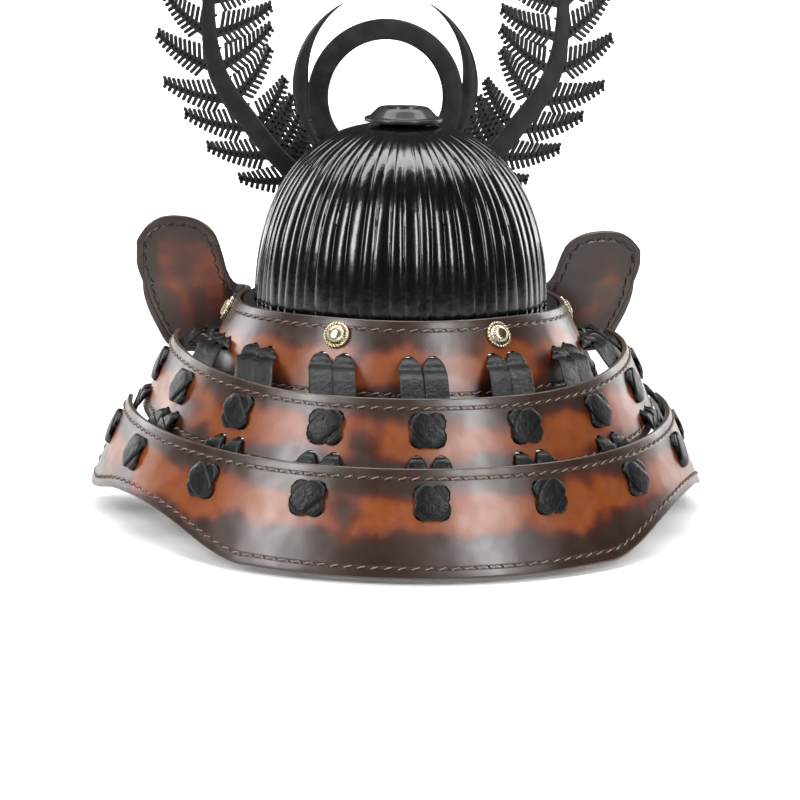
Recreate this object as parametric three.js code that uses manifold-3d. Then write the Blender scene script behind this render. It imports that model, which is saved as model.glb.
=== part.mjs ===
// Kabuto helmet: a ribbed lacquered bowl, a neck guard of three laced leather
// lames with turned-back ears, a small visor and a fern crest with a ring in a
// crescent. Millimetres, +Z up, the face side looks along -Y, and the origin is
// the middle of the bowl's rim. Angles along a lame are counted in degrees from
// the middle of the back, positive towards +X.

import * as THREE from 'three';
import { mergeVertices } from 'three/addons/utils/BufferGeometryUtils.js';
import Module from 'manifold-3d';

const wasm = await Module();
wasm.setup();

// Driving dimensions

const CLEARANCE = 0.3;
const THROUGH = 4; // how far a cutting tool runs past the wall that it cuts
const LEATHER = 2.0;
const SECTION_STEP = 6; // degrees between two sections of a lame

const BOWL_HALF_WIDTH = 59.4;
const BOWL_HALF_LENGTH = 65.4;
const BOWL_HEIGHT = 79;
const BOWL_WALL = 2.2;
const BOWL_ROUNDNESS = 2.5; // exponent of the bowl's superellipse, 2 is a ball
const RIB_COUNT = 62;
const RIB_DEPTH = 0.9;
const BOWL_ROWS = 6;
const BOWL_INNER_SIDES = 32;

const FINIAL_HOLE_RADIUS = 7.6;
const FINIAL_TUBE_WALL = 1.2;
const FINIAL_TUBE_LENGTH = 5;
const FINIAL_FLANGE_RADIUS = 15.8;
const FINIAL_FLANGE_THICKNESS = 2.1;
const FINIAL_DOME_RADIUS = 13.6;
const FINIAL_DOME_HEIGHT = 3.1;
const FINIAL_SIDES = 20;

const BAND_TOP = 7;
const BAND_FOOT = 2.5; // below the bowl's rim
const BAND_SIDES = 40;

// From the bowl's rim out to the top lame's upper edge, and from each lame's
// upper edge out to the next one's.
const BAND_REACH = 5.6;
const MIDDLE_SIDE_STEP = 29.2;
const MIDDLE_BACK_STEP = 31.2;
const BOTTOM_STEP = 17.1;

const TOP_LAME = {
  halfWidth: BOWL_HALF_WIDTH + BAND_REACH, halfLength: BOWL_HALF_LENGTH + BAND_REACH,
  back: 10.2, rise: -2.4, height: 30, flare: 0.5, reach: 113,
  corner: 0, lacesUp: 0, lacesDown: 14.8, laceAngles: [0, 27, 54, 78, 99],
};
const MIDDLE_LAME = {
  halfWidth: TOP_LAME.halfWidth + MIDDLE_SIDE_STEP, halfLength: TOP_LAME.halfLength + MIDDLE_BACK_STEP,
  back: -14, rise: 6, height: 29, flare: 0.44, reach: 104,
  corner: 5, lacesUp: 6.6, lacesDown: 22.2, laceAngles: [0, 22.3, 44.6, 67, 89.5],
};
const BOTTOM_LAME = {
  halfWidth: MIDDLE_LAME.halfWidth + BOTTOM_STEP, halfLength: MIDDLE_LAME.halfLength + BOTTOM_STEP,
  back: -37, rise: 3.2, height: 38.6, flare: 0.44, reach: 98,
  corner: 5, lacesUp: 7.2, lacesDown: 0, laceAngles: [0, 22.8, 45.3, 69, 91],
};
const RISE_FROM = 25; // degrees from the back where a lame's edges start to rise
const RISE_TO = 90;

// The bottom lame's lower edge is cut up over the shoulder. cut is a share of
// SHOULDER_CUT, and at is in degrees from the back.
const SHOULDER_CUT = 16.5;
const SHOULDER = [
  { at: 0, cut: -0.04 },
  { at: 30, cut: 0.03 },
  { at: 35, cut: 0.05 },
  { at: 40, cut: 0.25 },
  { at: 45, cut: 0.47 },
  { at: 50, cut: 0.66 },
  { at: 56, cut: 0.81 },
  { at: 64, cut: 0.9 },
  { at: 74, cut: 0.82 },
  { at: 86, cut: 0.5 },
  { at: 98, cut: 0.36 },
];

// Each ear is the end of the top lame, folded out sideways. along is a share of
// EAR_REACH, top a share of EAR_RISE above the lame's top edge, and foot a share
// of the height from the lame's lower edge up to the ear's tip.
const FOLD_RADIUS = 5;
const FOLD_TURN = 103;
const FOLD_STEPS = 5;
const EAR_REACH = 42;
const EAR_RISE = 25;
const EAR_TIP = 0.5; // height of the ear's tip, as a share of EAR_RISE
const EAR = [
  { along: 0.04, top: 0.04, foot: 0 },
  { along: 0.1, top: 0.2, foot: 0 },
  { along: 0.16, top: 0.52, foot: 0 },
  { along: 0.24, top: 0.78, foot: 0 },
  { along: 0.4, top: 0.95, foot: 0.08 },
  { along: 0.6, top: 1, foot: 0.27 },
  { along: 0.76, top: 0.97, foot: 0.44 },
  { along: 0.88, top: 0.86, foot: 0.6 },
  { along: 0.96, top: 0.71, foot: 0.76 },
  { along: 1, top: 0.53, foot: 0.96 },
];

const VISOR_THICKNESS = 2;
const VISOR_GAP = 13; // degrees between the ends of the top lame and of the visor
const VISOR_FROM = TOP_LAME.reach + VISOR_GAP;
const VISOR_TOP = 5;
const VISOR_FOOT = -2.2;
const VISOR_REACH = 24;
const VISOR_END_REACH = 0.25; // share of VISOR_REACH that is left at the visor's ends
const VISOR_DROP = 0.5; // fall for each millimetre outwards
const VISOR_STEPS = 14;

const LACE_WIDTH = 9;
const LACE_PINCH = 6.4; // width of a strip where it goes through the leather
const LACE_THICKNESS = 1.2;
const LACE_GAP = 0.8; // between the two strips of a pair
const LACE_TAB = 5;
const LACE_LEAVE = 1.2; // how far a lace stands straight out of its slot
const LACE_ARCH = 0.2; // and its rise above the straight way down, as a share of it
const KNOT_SIZE = 14;
const KNOT_THICKNESS = 1.6;

const STUD_ANGLES = [-98, -27, 27, 98];
const STUD_BELOW_EDGE = 6.6;
const STUD_RADIUS = 5.4;
const STUD_HEIGHT = 3;
const STUD_SHANK_RADIUS = 1.4;
const STUD_SHANK_DEPTH = 3;
const STUD_SIDES = 10;
const STUD_HOLE_SIDES = 8;

const CREST_PLATE = 2;
const CREST_OUTSET = 10; // distance of the crest's plate from the front of the bowl
const RING_HEIGHT = 82.3;
const RING_INNER_RADIUS = 25.1;
const RING_OUTER_RADIUS = 33.4;
const RING_SIDES = 32;
const CRESCENT_RADIUS = 40;
const CRESCENT_WIDTH = 5.2;
const CRESCENT_RAISE = 4.5; // how far the crescent's centre lies above the ring's
const CRESCENT_TIP_ANGLE = 62;
const CRESCENT_STEPS = 12;
const TANG_WIDTH = 10;
const TANG_DEPTH = 13;

const BASE_HALF_WIDTH = 27;
const BASE_HEIGHT = 20;
const BASE_THICKNESS = 7;

const FERN_SPAN = 75.4; // from the crest's middle out to the stem's middle line
const FERN_HEIGHT = 162;
const STEM_WIDTH = 8.6;
// The middle line of a fern's stem, from the base upwards, and its width. out is
// a share of FERN_SPAN, up of FERN_HEIGHT and wide of STEM_WIDTH.
const STEM = [
  { out: 0.225, up: 0.086, wide: 0.81 },
  { out: 0.239, up: 0.167, wide: 0.81 },
  { out: 0.371, up: 0.247, wide: 0.93 },
  { out: 0.603, up: 0.346, wide: 0.98 },
  { out: 0.788, up: 0.451, wide: 1 },
  { out: 0.883, up: 0.509, wide: 1 },
  { out: 0.955, up: 0.574, wide: 0.93 },
  { out: 0.997, up: 0.664, wide: 0.77 },
  { out: 1, up: 0.784, wide: 0.58 },
  { out: 0.948, up: 0.901, wide: 0.4 },
  { out: 0.869, up: 1, wide: 0.21 },
].map(({ out, up, wide }) => ({ x: out * FERN_SPAN, z: up * FERN_HEIGHT, width: wide * STEM_WIDTH }));
const STEM_THICKNESS = 2;
const STEM_STEPS = 20;
const PINNA_PITCH = 14.8;
const PINNA_START = 26; // along the stem, where the first pair of pinnae grows
const PINNA_LENGTH = 25.5;
const PINNA_THICKNESS = 1.6;
const PINNA_HALF_WIDTH = 3.5;
const OUTER_PINNA_ANGLE = 41;
const INNER_PINNA_ANGLE = 70;
// Length of each pair of pinnae, as shares of PINNA_LENGTH, from the base upwards.
const PINNAE = [
  { outer: 0.62, inner: 0 },
  { outer: 0.86, inner: 0 },
  { outer: 0.98, inner: 0.36 },
  { outer: 1, inner: 0.62 },
  { outer: 1, inner: 0.76 },
  { outer: 0.98, inner: 0.86 },
  { outer: 0.92, inner: 0.88 },
  { outer: 0.82, inner: 0.8 },
  { outer: 0.66, inner: 0.66 },
  { outer: 0.46, inner: 0.46 },
];

// Materials

const lacquer = new THREE.MeshStandardMaterial({ color: 0x0c0c0d, roughness: 0.25 });
const leather = new THREE.MeshStandardMaterial({ color: 0x5a3020, roughness: 0.45 });
const lace = new THREE.MeshStandardMaterial({ color: 0x202023, roughness: 0.5 });
const brass = new THREE.MeshStandardMaterial({ color: 0xc9b78a, roughness: 0.4, metalness: 1 });
const darkMetal = new THREE.MeshStandardMaterial({ color: 0x1f1c19, roughness: 0.4, metalness: 0.6 });

// Geometry helpers

const radians = THREE.MathUtils.degToRad;

// A closed solid from vertices and triangles, turned so that its faces point out.
function closedGeometry(points, triangles) {
  let volume = 0;
  const cross = new THREE.Vector3();
  for (const [a, b, c] of triangles) {
    volume += points[a].dot(cross.crossVectors(points[b], points[c]));
  }
  const index = triangles.flatMap(([a, b, c]) => (volume > 0 ? [a, b, c] : [a, c, b]));
  const geometry = new THREE.BufferGeometry();
  geometry.setAttribute(
    'position',
    new THREE.Float32BufferAttribute(points.flatMap((p) => p.toArray()), 3),
  );
  geometry.setIndex(index);
  return geometry;
}

// A wall that is lofted through sections. Each section has the same number of
// points on its outer and on its inner side, and a closed wall runs back into its
// first section.
function wall(sections, closed = false) {
  const count = sections[0].outer.length;
  const loop = 2 * count;
  const points = sections.flatMap(({ outer, inner }) => [...outer, ...inner.toReversed()]);
  const triangles = [];
  const quad = (a, b, c, d) => triangles.push([a, b, c], [a, c, d]);
  const last = closed ? sections.length : sections.length - 1;
  for (let s = 0; s < last; s++) {
    const next = (s + 1) % sections.length;
    for (let i = 0; i < loop; i++) {
      const j = (i + 1) % loop;
      quad(s * loop + i, s * loop + j, next * loop + j, next * loop + i);
    }
  }
  if (!closed) {
    const end = (sections.length - 1) * loop;
    for (let i = 0; i + 1 < count; i++) {
      quad(loop - 1 - i, loop - 2 - i, i + 1, i);
      quad(end + i, end + i + 1, end + loop - 2 - i, end + loop - 1 - i);
    }
  }
  return closedGeometry(points, triangles);
}

function toSolid(geometry) {
  const bare = geometry.clone();
  bare.deleteAttribute('normal');
  bare.deleteAttribute('uv');
  const merged = mergeVertices(bare);
  return new wasm.Manifold(new wasm.Mesh({
    numProp: 3,
    vertProperties: new Float32Array(merged.attributes.position.array),
    triVerts: new Uint32Array(merged.index.array),
  }));
}

function toGeometry(solid) {
  const mesh = solid.getMesh();
  const geometry = new THREE.BufferGeometry();
  geometry.setAttribute('position', new THREE.BufferAttribute(mesh.vertProperties, 3));
  geometry.setIndex(new THREE.BufferAttribute(mesh.triVerts, 1));
  return geometry;
}

function cut(geometry, tools) {
  return toGeometry(tools.reduce((rest, tool) => rest.subtract(toSolid(tool)), toSolid(geometry)));
}

function join(geometries) {
  return toGeometry(geometries.map(toSolid).reduce((whole, next) => whole.add(next)));
}

// Reads a table by its first column and gives the named column, with straight
// lines between the rows.
function lookUp(table, key, value, column) {
  const rows = table.length - 1;
  const next = Math.min(Math.max(table.findIndex((row) => row[key] >= value), 1), rows);
  const [low, high] = value > table[rows][key] ? [table[rows], table[rows]] : [table[next - 1], table[next]];
  const span = high[key] - low[key] || 1;
  const share = THREE.MathUtils.clamp((value - low[key]) / span, 0, 1);
  return THREE.MathUtils.lerp(low[column], high[column], share);
}

// Lames

const flareOutset = (lame, z) => lame.flare * (lame.back - z);

// Where a lame's wall stands: the outer face's point and the direction out of it.
function lameFrame(lame, degrees, z) {
  const angle = radians(degrees);
  const halfWidth = lame.halfWidth + flareOutset(lame, z);
  const halfLength = lame.halfLength + flareOutset(lame, z);
  const point = new THREE.Vector3(halfWidth * Math.sin(angle), halfLength * Math.cos(angle), z);
  const along = new THREE.Vector3(halfWidth * Math.cos(angle), -halfLength * Math.sin(angle), 0);
  along.normalize();
  const level = new THREE.Vector3(-along.y, along.x, 0);
  const normal = new THREE.Vector3(level.x, level.y, lame.flare).normalize();
  const down = new THREE.Vector3().crossVectors(normal, along);
  return { point, along, level, normal, down };
}

// How far an edge is rounded off at a lame's front corner.
function cornerInset(lame, degrees) {
  const toEnd = radians(lame.reach - Math.abs(degrees)) * lame.halfWidth;
  const inside = THREE.MathUtils.clamp(1 - toEnd / (lame.corner || 1), 0, 1);
  return lame.corner * (1 - Math.sqrt(1 - inside * inside));
}

function topEdge(lame, degrees) {
  const rise = lame.rise * THREE.MathUtils.smoothstep(Math.abs(degrees), RISE_FROM, RISE_TO);
  return lame.back + rise - cornerInset(lame, degrees);
}

function footEdge(lame, degrees) {
  const rise = lame.rise * THREE.MathUtils.smoothstep(Math.abs(degrees), RISE_FROM, RISE_TO);
  const plain = lame.back - lame.height + cornerInset(lame, degrees);
  if (lame !== BOTTOM_LAME) {
    return plain + rise;
  }
  return plain + SHOULDER_CUT * lookUp(SHOULDER, 'at', Math.abs(degrees), 'cut');
}

// The angles where a lame has a section: even steps, and closer ones at the ends
// where the corners are rounded.
function sectionAngles(lame) {
  const steps = Math.round(lame.reach / SECTION_STEP);
  const half = Array.from({ length: steps }, (_, i) => (i * lame.reach) / steps);
  if (lame.corner > 0) {
    const corner = THREE.MathUtils.radToDeg(lame.corner / lame.halfWidth);
    half.push(lame.reach - 0.75 * corner, lame.reach - 0.3 * corner);
  }
  half.push(lame.reach);
  half.sort((a, b) => a - b);
  return [...half.slice(1).map((angle) => -angle).reverse(), ...half];
}

function lameSection(lame, degrees) {
  const heights = [topEdge(lame, degrees), footEdge(lame, degrees)];
  const frames = heights.map((z) => lameFrame(lame, degrees, z));
  return {
    outer: frames.map(({ point }) => point),
    inner: frames.map(({ point, normal }) => point.clone().addScaledVector(normal, -LEATHER)),
  };
}

// A section of an ear. turn is how far the leather has turned at the fold, and
// along is the distance past the fold.
function earSection(side, turn, along, top, foot) {
  const end = TOP_LAME.reach;
  const edge = topEdge(TOP_LAME, end);
  const faces = [top, foot].map((z) => {
    const { point, along: ahead, level } = lameFrame(TOP_LAME, side * end, Math.min(z, edge));
    ahead.multiplyScalar(side);
    const out = point.clone().setZ(z).addScaledVector(level, FOLD_RADIUS * (1 - Math.cos(turn)));
    out.addScaledVector(ahead, FOLD_RADIUS * Math.sin(turn));
    out.addScaledVector(ahead, along * Math.cos(turn));
    out.addScaledVector(level, along * Math.sin(turn));
    const normal = level.clone().multiplyScalar(Math.cos(turn));
    normal.addScaledVector(ahead, -Math.sin(turn));
    return { out, under: out.clone().addScaledVector(normal, -LEATHER) };
  });
  return { outer: faces.map(({ out }) => out), inner: faces.map(({ under }) => under) };
}

function earSections(side) {
  const edge = topEdge(TOP_LAME, TOP_LAME.reach);
  const foot = footEdge(TOP_LAME, TOP_LAME.reach);
  const tip = edge + EAR_TIP * EAR_RISE;
  const turn = radians(FOLD_TURN);
  const fold = Array.from({ length: FOLD_STEPS }, (_, i) => (
    earSection(side, ((i + 1) * turn) / FOLD_STEPS, 0, edge, foot)
  ));
  const leaf = EAR.map((row) => earSection(
    side,
    turn,
    row.along * EAR_REACH,
    edge + row.top * EAR_RISE,
    foot + row.foot * (tip - foot),
  ));
  return [...fold, ...leaf];
}

// Lacing

// A slot through a lame that both strips of a lace go through.
function laceSlot({ point, along, normal, down }) {
  const slot = new THREE.BoxGeometry(
    2 * LACE_PINCH + LACE_GAP + 2 * CLEARANCE,
    LACE_THICKNESS + 2 * CLEARANCE,
    LEATHER + 2 * THROUGH,
  );
  const middle = point.clone().addScaledVector(normal, -LEATHER / 2);
  slot.applyMatrix4(new THREE.Matrix4().makeBasis(along, down, normal));
  return slot.translate(...middle.toArray());
}

// The pair of flat strips along a path, side by side. Each station has a point, the
// width of a strip and the direction across the pair.
function stripPair(stations) {
  const crossed = stations.map(({ point, width, across }, i) => {
    const before = stations[Math.max(i - 1, 0)].point;
    const after = stations[Math.min(i + 1, stations.length - 1)].point;
    const here = point.clone().sub(before).normalize();
    const ahead = after.clone().sub(point).normalize();
    const tangent = here.clone().add(ahead).normalize();
    const bend = Math.max(tangent.dot(i > 0 ? here : ahead), 0.6);
    const thick = new THREE.Vector3().crossVectors(across, tangent).normalize();
    thick.multiplyScalar(LACE_THICKNESS / 2 / bend);
    return { point, width, across, thick };
  });
  return [-1, 1].map((side) => wall(crossed.map(({ point, width, across, thick }) => {
    const near = point.clone().addScaledVector(across, (side * LACE_GAP) / 2);
    const far = near.clone().addScaledVector(across, side * width);
    return {
      outer: [near.clone().add(thick), far.clone().add(thick)],
      inner: [near.clone().sub(thick), far.clone().sub(thick)],
    };
  })));
}

// Where a lace of a column leaves a lame, and where it ends in the knot on a lame.
const laceStart = (lame, column) => laceFrame(lame, column, lame.lacesDown);
const laceEnd = (lame, column) => laceFrame(lame, column, lame.lacesUp);

function laceFrame(lame, column, below) {
  const degrees = Math.sign(column) * lame.laceAngles[Math.abs(column)];
  return lameFrame(lame, degrees, topEdge(lame, degrees) - below);
}

// Inside a lame the edges of a flat pair of strips are nearest to the round wall,
// so the pair lies deeper by this much.
const hollowEase = (LACE_PINCH + LACE_GAP) ** 2 / (2 * TOP_LAME.halfWidth);

// A point of a lace's middle line on one face of a lame, lower than its slot by drop.
function laceSeat({ point, normal, down }, drop, inside) {
  const lift = CLEARANCE + LACE_THICKNESS / 2;
  const depth = -LEATHER - lift - hollowEase;
  const seat = point.clone().addScaledVector(normal, inside ? depth : lift);
  return seat.addScaledVector(down, drop);
}

// A lace from a slot low in one lame to the knot on the lame below it.
function laceSolid(upper, lower, column) {
  const start = laceStart(upper, column);
  const end = laceEnd(lower, column);
  const leave = laceSeat(start, 0, false).addScaledVector(start.normal, LACE_LEAVE);
  const arrive = laceSeat(end, -LACE_TAB, true);
  const arch = leave.clone().lerp(arrive, 0.3);
  arch.z += LACE_ARCH * leave.distanceTo(arrive);
  const path = arrive.clone().sub(leave).normalize();
  const across = start.along.clone().add(end.along);
  across.addScaledVector(path, -across.dot(path)).normalize();
  const pinched = (point, frame) => ({ point, width: LACE_PINCH, across: frame.along });
  const strips = stripPair([
    pinched(laceSeat(start, LACE_TAB, true), start),
    pinched(laceSeat(start, 0, true), start),
    pinched(leave, start),
    { point: arch, width: LACE_WIDTH, across },
    pinched(arrive, end),
    pinched(laceSeat(end, 0, true), end),
    pinched(laceSeat(end, 0, false), end),
    pinched(laceSeat(end, KNOT_SIZE / 2, false), end),
  ]);
  return join([...strips, knot(end)]);
}

// The square knot that hides a lace's end, just clear of the leather.
function knot({ point, along, normal, down }) {
  const pad = new THREE.BoxGeometry(KNOT_SIZE, KNOT_SIZE, KNOT_THICKNESS);
  pad.applyMatrix4(new THREE.Matrix4().makeBasis(along, down, normal));
  const lift = CLEARANCE + LACE_THICKNESS / 2 + KNOT_THICKNESS / 2;
  const middle = point.clone().addScaledVector(normal, lift);
  middle.addScaledVector(down, KNOT_SIZE / 2 - LACE_THICKNESS);
  return pad.translate(...middle.toArray());
}

const half = TOP_LAME.laceAngles.length - 1; // columns on each side of the middle one
const columns = Array.from({ length: 2 * half + 1 }, (_, i) => i - half);
const slotsDown = (lame) => columns.map((column) => laceSlot(laceStart(lame, column)));
const slotsUp = (lame) => columns.map((column) => laceSlot(laceEnd(lame, column)));

// Studs

function studFrame(degrees) {
  return lameFrame(TOP_LAME, degrees, topEdge(TOP_LAME, degrees) - STUD_BELOW_EDGE);
}

// Turns a solid that stands along +Y out along a stud's direction.
function placeStud(geometry, { point, normal }) {
  const turn = new THREE.Quaternion().setFromUnitVectors(new THREE.Vector3(0, 1, 0), normal);
  return geometry.applyQuaternion(turn).translate(...point.toArray());
}

function studSolid(degrees) {
  const rim = CLEARANCE + 0.25 * STUD_HEIGHT;
  const profile = [
    new THREE.Vector2(0, -LEATHER - STUD_SHANK_DEPTH),
    new THREE.Vector2(STUD_SHANK_RADIUS, -LEATHER - STUD_SHANK_DEPTH),
    new THREE.Vector2(STUD_SHANK_RADIUS, CLEARANCE),
    new THREE.Vector2(STUD_RADIUS, CLEARANCE),
    new THREE.Vector2(STUD_RADIUS, rim),
    new THREE.Vector2(0.75 * STUD_RADIUS, 0.75 * STUD_HEIGHT + CLEARANCE),
    new THREE.Vector2(0, STUD_HEIGHT + CLEARANCE),
  ];
  return placeStud(new THREE.LatheGeometry(profile, STUD_SIDES), studFrame(degrees));
}

function studHole(degrees) {
  const length = 2 * (LEATHER + STUD_SHANK_DEPTH + CLEARANCE);
  const radius = STUD_SHANK_RADIUS + CLEARANCE;
  const drill = new THREE.CylinderGeometry(radius, radius, length, STUD_HOLE_SIDES);
  return placeStud(drill, studFrame(degrees));
}

// Bowl, finial, band and visor

// The radius of the bowl at a height, as a share of the radius at its rim.
const bowlShare = (share) => (1 - share ** BOWL_ROUNDNESS) ** (1 / BOWL_ROUNDNESS);

// A domed solid with a flat foot. Every second side lies lower by grooves, so
// that the surface between is a row of ridges that run up to the crown.
function dome({ halfWidth, halfLength, height, sides, rows, grooves, foot }) {
  const points = [];
  const triangles = [];
  for (let row = 0; row < rows; row++) {
    const lift = Math.sin((row * Math.PI) / 2 / rows) ** (2 / BOWL_ROUNDNESS);
    const share = bowlShare(lift);
    for (let side = 0; side < sides; side++) {
      const angle = (side * 2 * Math.PI) / sides;
      const inset = side % 2 ? grooves * Math.min(1, 2 * share) : 0;
      points.push(new THREE.Vector3(
        (halfWidth * share - inset) * Math.sin(angle),
        (halfLength * share - inset) * Math.cos(angle),
        row === 0 ? -foot : height * lift,
      ));
    }
  }
  for (let row = 0; row + 1 < rows; row++) {
    for (let side = 0; side < sides; side++) {
      const a = row * sides + side;
      const b = row * sides + ((side + 1) % sides);
      triangles.push([a, b, b + sides], [a, b + sides, a + sides]);
    }
  }
  const crown = points.push(new THREE.Vector3(0, 0, height)) - 1;
  const base = points.push(new THREE.Vector3(0, 0, -foot)) - 1;
  const last = (rows - 1) * sides;
  for (let side = 0; side < sides; side++) {
    const next = (side + 1) % sides;
    triangles.push([last + side, last + next, crown], [next, side, base]);
  }
  return closedGeometry(points, triangles);
}

const tubeRadius = FINIAL_HOLE_RADIUS + FINIAL_TUBE_WALL;

function bowlSolid() {
  const outer = dome({
    halfWidth: BOWL_HALF_WIDTH,
    halfLength: BOWL_HALF_LENGTH,
    height: BOWL_HEIGHT,
    sides: 2 * RIB_COUNT,
    rows: BOWL_ROWS,
    grooves: RIB_DEPTH,
    foot: 0,
  });
  const inner = dome({
    halfWidth: BOWL_HALF_WIDTH - BOWL_WALL - RIB_DEPTH,
    halfLength: BOWL_HALF_LENGTH - BOWL_WALL - RIB_DEPTH,
    height: BOWL_HEIGHT - BOWL_WALL,
    sides: BOWL_INNER_SIDES,
    rows: BOWL_ROWS,
    grooves: 0,
    foot: THROUGH,
  });
  const radius = tubeRadius + CLEARANCE;
  const hole = new THREE.CylinderGeometry(radius, radius, 4 * THROUGH, FINIAL_SIDES);
  hole.rotateX(Math.PI / 2).translate(0, 0, BOWL_HEIGHT);
  return cut(outer, [inner, hole]);
}

function finialSolid() {
  const seat = BOWL_HEIGHT + CLEARANCE;
  const flange = seat + FINIAL_FLANGE_THICKNESS;
  const top = flange + FINIAL_DOME_HEIGHT;
  const profile = [
    [FINIAL_HOLE_RADIUS, seat - FINIAL_TUBE_LENGTH],
    [tubeRadius, seat - FINIAL_TUBE_LENGTH],
    [tubeRadius, seat],
    [FINIAL_FLANGE_RADIUS, seat],
    [FINIAL_FLANGE_RADIUS, flange],
    [FINIAL_DOME_RADIUS, flange],
    [THREE.MathUtils.lerp(tubeRadius, FINIAL_DOME_RADIUS, 0.7), flange + 0.7 * FINIAL_DOME_HEIGHT],
    [tubeRadius, top],
    [FINIAL_HOLE_RADIUS, top - 0.2 * FINIAL_DOME_HEIGHT],
    [FINIAL_HOLE_RADIUS, seat - FINIAL_TUBE_LENGTH],
  ].map(([radius, height]) => new THREE.Vector2(radius, height));
  return new THREE.LatheGeometry(profile, FINIAL_SIDES).rotateX(Math.PI / 2);
}

// Distance from the bowl's own outline to the outer face of the band, which fits
// inside the top lame.
const leatherLevel = (LEATHER + CLEARANCE) * Math.hypot(1, TOP_LAME.flare);
const bandOutset = (z) => (
  BAND_REACH + flareOutset(TOP_LAME, z) - leatherLevel
);

function ovalPoint(angle, outset, z) {
  return new THREE.Vector3(
    (BOWL_HALF_WIDTH + outset) * Math.sin(angle),
    (BOWL_HALF_LENGTH + outset) * Math.cos(angle),
    z,
  );
}

// The band round the rim, with a ledge on which the bowl's wall stands.
function bandSolid() {
  const sections = Array.from({ length: BAND_SIDES }, (_, i) => {
    const angle = (i * 2 * Math.PI) / BAND_SIDES;
    return {
      outer: [
        ovalPoint(angle, bandOutset(BAND_TOP), BAND_TOP),
        ovalPoint(angle, bandOutset(-BAND_FOOT), -BAND_FOOT),
        ovalPoint(angle, -BOWL_WALL, -BAND_FOOT),
      ],
      inner: [
        ovalPoint(angle, CLEARANCE + bandEase, BAND_TOP),
        ovalPoint(angle, CLEARANCE + bandEase, -CLEARANCE),
        ovalPoint(angle, -BOWL_WALL, -CLEARANCE),
      ],
    };
  });
  return cut(wall(sections, true), STUD_ANGLES.map(studHole));
}

// A many-sided ring lies inside its oval in the middle of each side by this much.
const bandEase = BOWL_HALF_LENGTH * (1 - Math.cos(Math.PI / BAND_SIDES));

function visorSolid() {
  const sections = Array.from({ length: VISOR_STEPS + 1 }, (_, i) => {
    const degrees = THREE.MathUtils.lerp(VISOR_FROM, 360 - VISOR_FROM, i / VISOR_STEPS);
    const middle = Math.cos((Math.PI / 2) * (1 - (2 * i) / VISOR_STEPS)) ** 2;
    const wide = THREE.MathUtils.lerp(VISOR_END_REACH, 1, middle) * VISOR_REACH;
    const angle = radians(degrees);
    const root = bandOutset(VISOR_FOOT) + CLEARANCE;
    const neck = bandOutset(VISOR_TOP) + CLEARANCE;
    const edge = root + wide;
    return {
      outer: [
        ovalPoint(angle, neck + VISOR_THICKNESS, VISOR_TOP),
        ovalPoint(angle, root + VISOR_THICKNESS, VISOR_FOOT + VISOR_THICKNESS),
        ovalPoint(angle, edge, VISOR_FOOT + VISOR_THICKNESS - VISOR_DROP * wide),
      ],
      inner: [
        ovalPoint(angle, neck, VISOR_TOP),
        ovalPoint(angle, root, VISOR_FOOT),
        ovalPoint(angle, edge, VISOR_FOOT - VISOR_DROP * wide),
      ],
    };
  });
  return wall(sections);
}

// Crest

const crestFace = BOWL_HALF_LENGTH + CREST_OUTSET;

// A flat plate whose outline is drawn in the XZ plane, centred on the crest's
// plane.
function plate(outline, thickness, y = -crestFace) {
  const shape = new THREE.Shape(outline.map(([x, z]) => new THREE.Vector2(x, z)));
  const geometry = new THREE.ExtrudeGeometry(shape, { depth: thickness, bevelEnabled: false });
  return geometry.rotateX(Math.PI / 2).translate(0, y + thickness / 2, 0);
}

function arc(centre, radius, from, to, steps) {
  return Array.from({ length: steps + 1 }, (_, i) => {
    const angle = radians(THREE.MathUtils.lerp(from, to, i / steps));
    return [radius * Math.cos(angle), centre + radius * Math.sin(angle)];
  });
}

function ringSolid() {
  const profile = [
    [RING_INNER_RADIUS, 0],
    [RING_OUTER_RADIUS, 0],
    [RING_OUTER_RADIUS, CREST_PLATE],
    [RING_INNER_RADIUS, CREST_PLATE],
    [RING_INNER_RADIUS, 0],
  ].map(([radius, height]) => new THREE.Vector2(radius, height));
  const geometry = new THREE.LatheGeometry(profile, RING_SIDES);
  return geometry.translate(0, -crestFace - CREST_PLATE / 2, RING_HEIGHT);
}

const baseFoot = VISOR_TOP + CLEARANCE;
const baseTop = baseFoot + BASE_HEIGHT;

// The crescent that the ring lies in, with the tang that stands in the base. Its
// inner edge follows the ring and leaves it towards the tips.
function crescentSolid() {
  const centre = RING_HEIGHT + CRESCENT_RAISE;
  const outer = arc(centre, CRESCENT_RADIUS, 180 - CRESCENT_TIP_ANGLE, 360 + CRESCENT_TIP_ANGLE, 2 * CRESCENT_STEPS);
  const hug = RING_OUTER_RADIUS / Math.cos(Math.PI / RING_SIDES) + 2 * CLEARANCE;
  const inner = outer.slice(1, -1).reverse().map(([x, z]) => {
    const away = Math.hypot(x, z - RING_HEIGHT);
    const slim = (z - centre) / (CRESCENT_RADIUS * Math.sin(radians(CRESCENT_TIP_ANGLE)));
    const radius = Math.max(hug, THREE.MathUtils.lerp(away - CRESCENT_WIDTH, away, Math.max(0, slim) ** 2));
    return [(x * radius) / away, RING_HEIGHT + ((z - RING_HEIGHT) * radius) / away];
  });
  const tang = [
    [-TANG_WIDTH / 2, baseTop - TANG_DEPTH],
    [TANG_WIDTH / 2, baseTop - TANG_DEPTH],
    [TANG_WIDTH / 2, centre - CRESCENT_RADIUS + 1],
    [-TANG_WIDTH / 2, centre - CRESCENT_RADIUS + 1],
  ];
  return join([plate([...outer, ...inner], CREST_PLATE), plate(tang, CREST_PLATE)]);
}

// The stem's middle line as a smooth curve in the XZ plane.
const stemCurve = new THREE.SplineCurve(STEM.map(({ x, z }) => new THREE.Vector2(x, z)));

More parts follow.
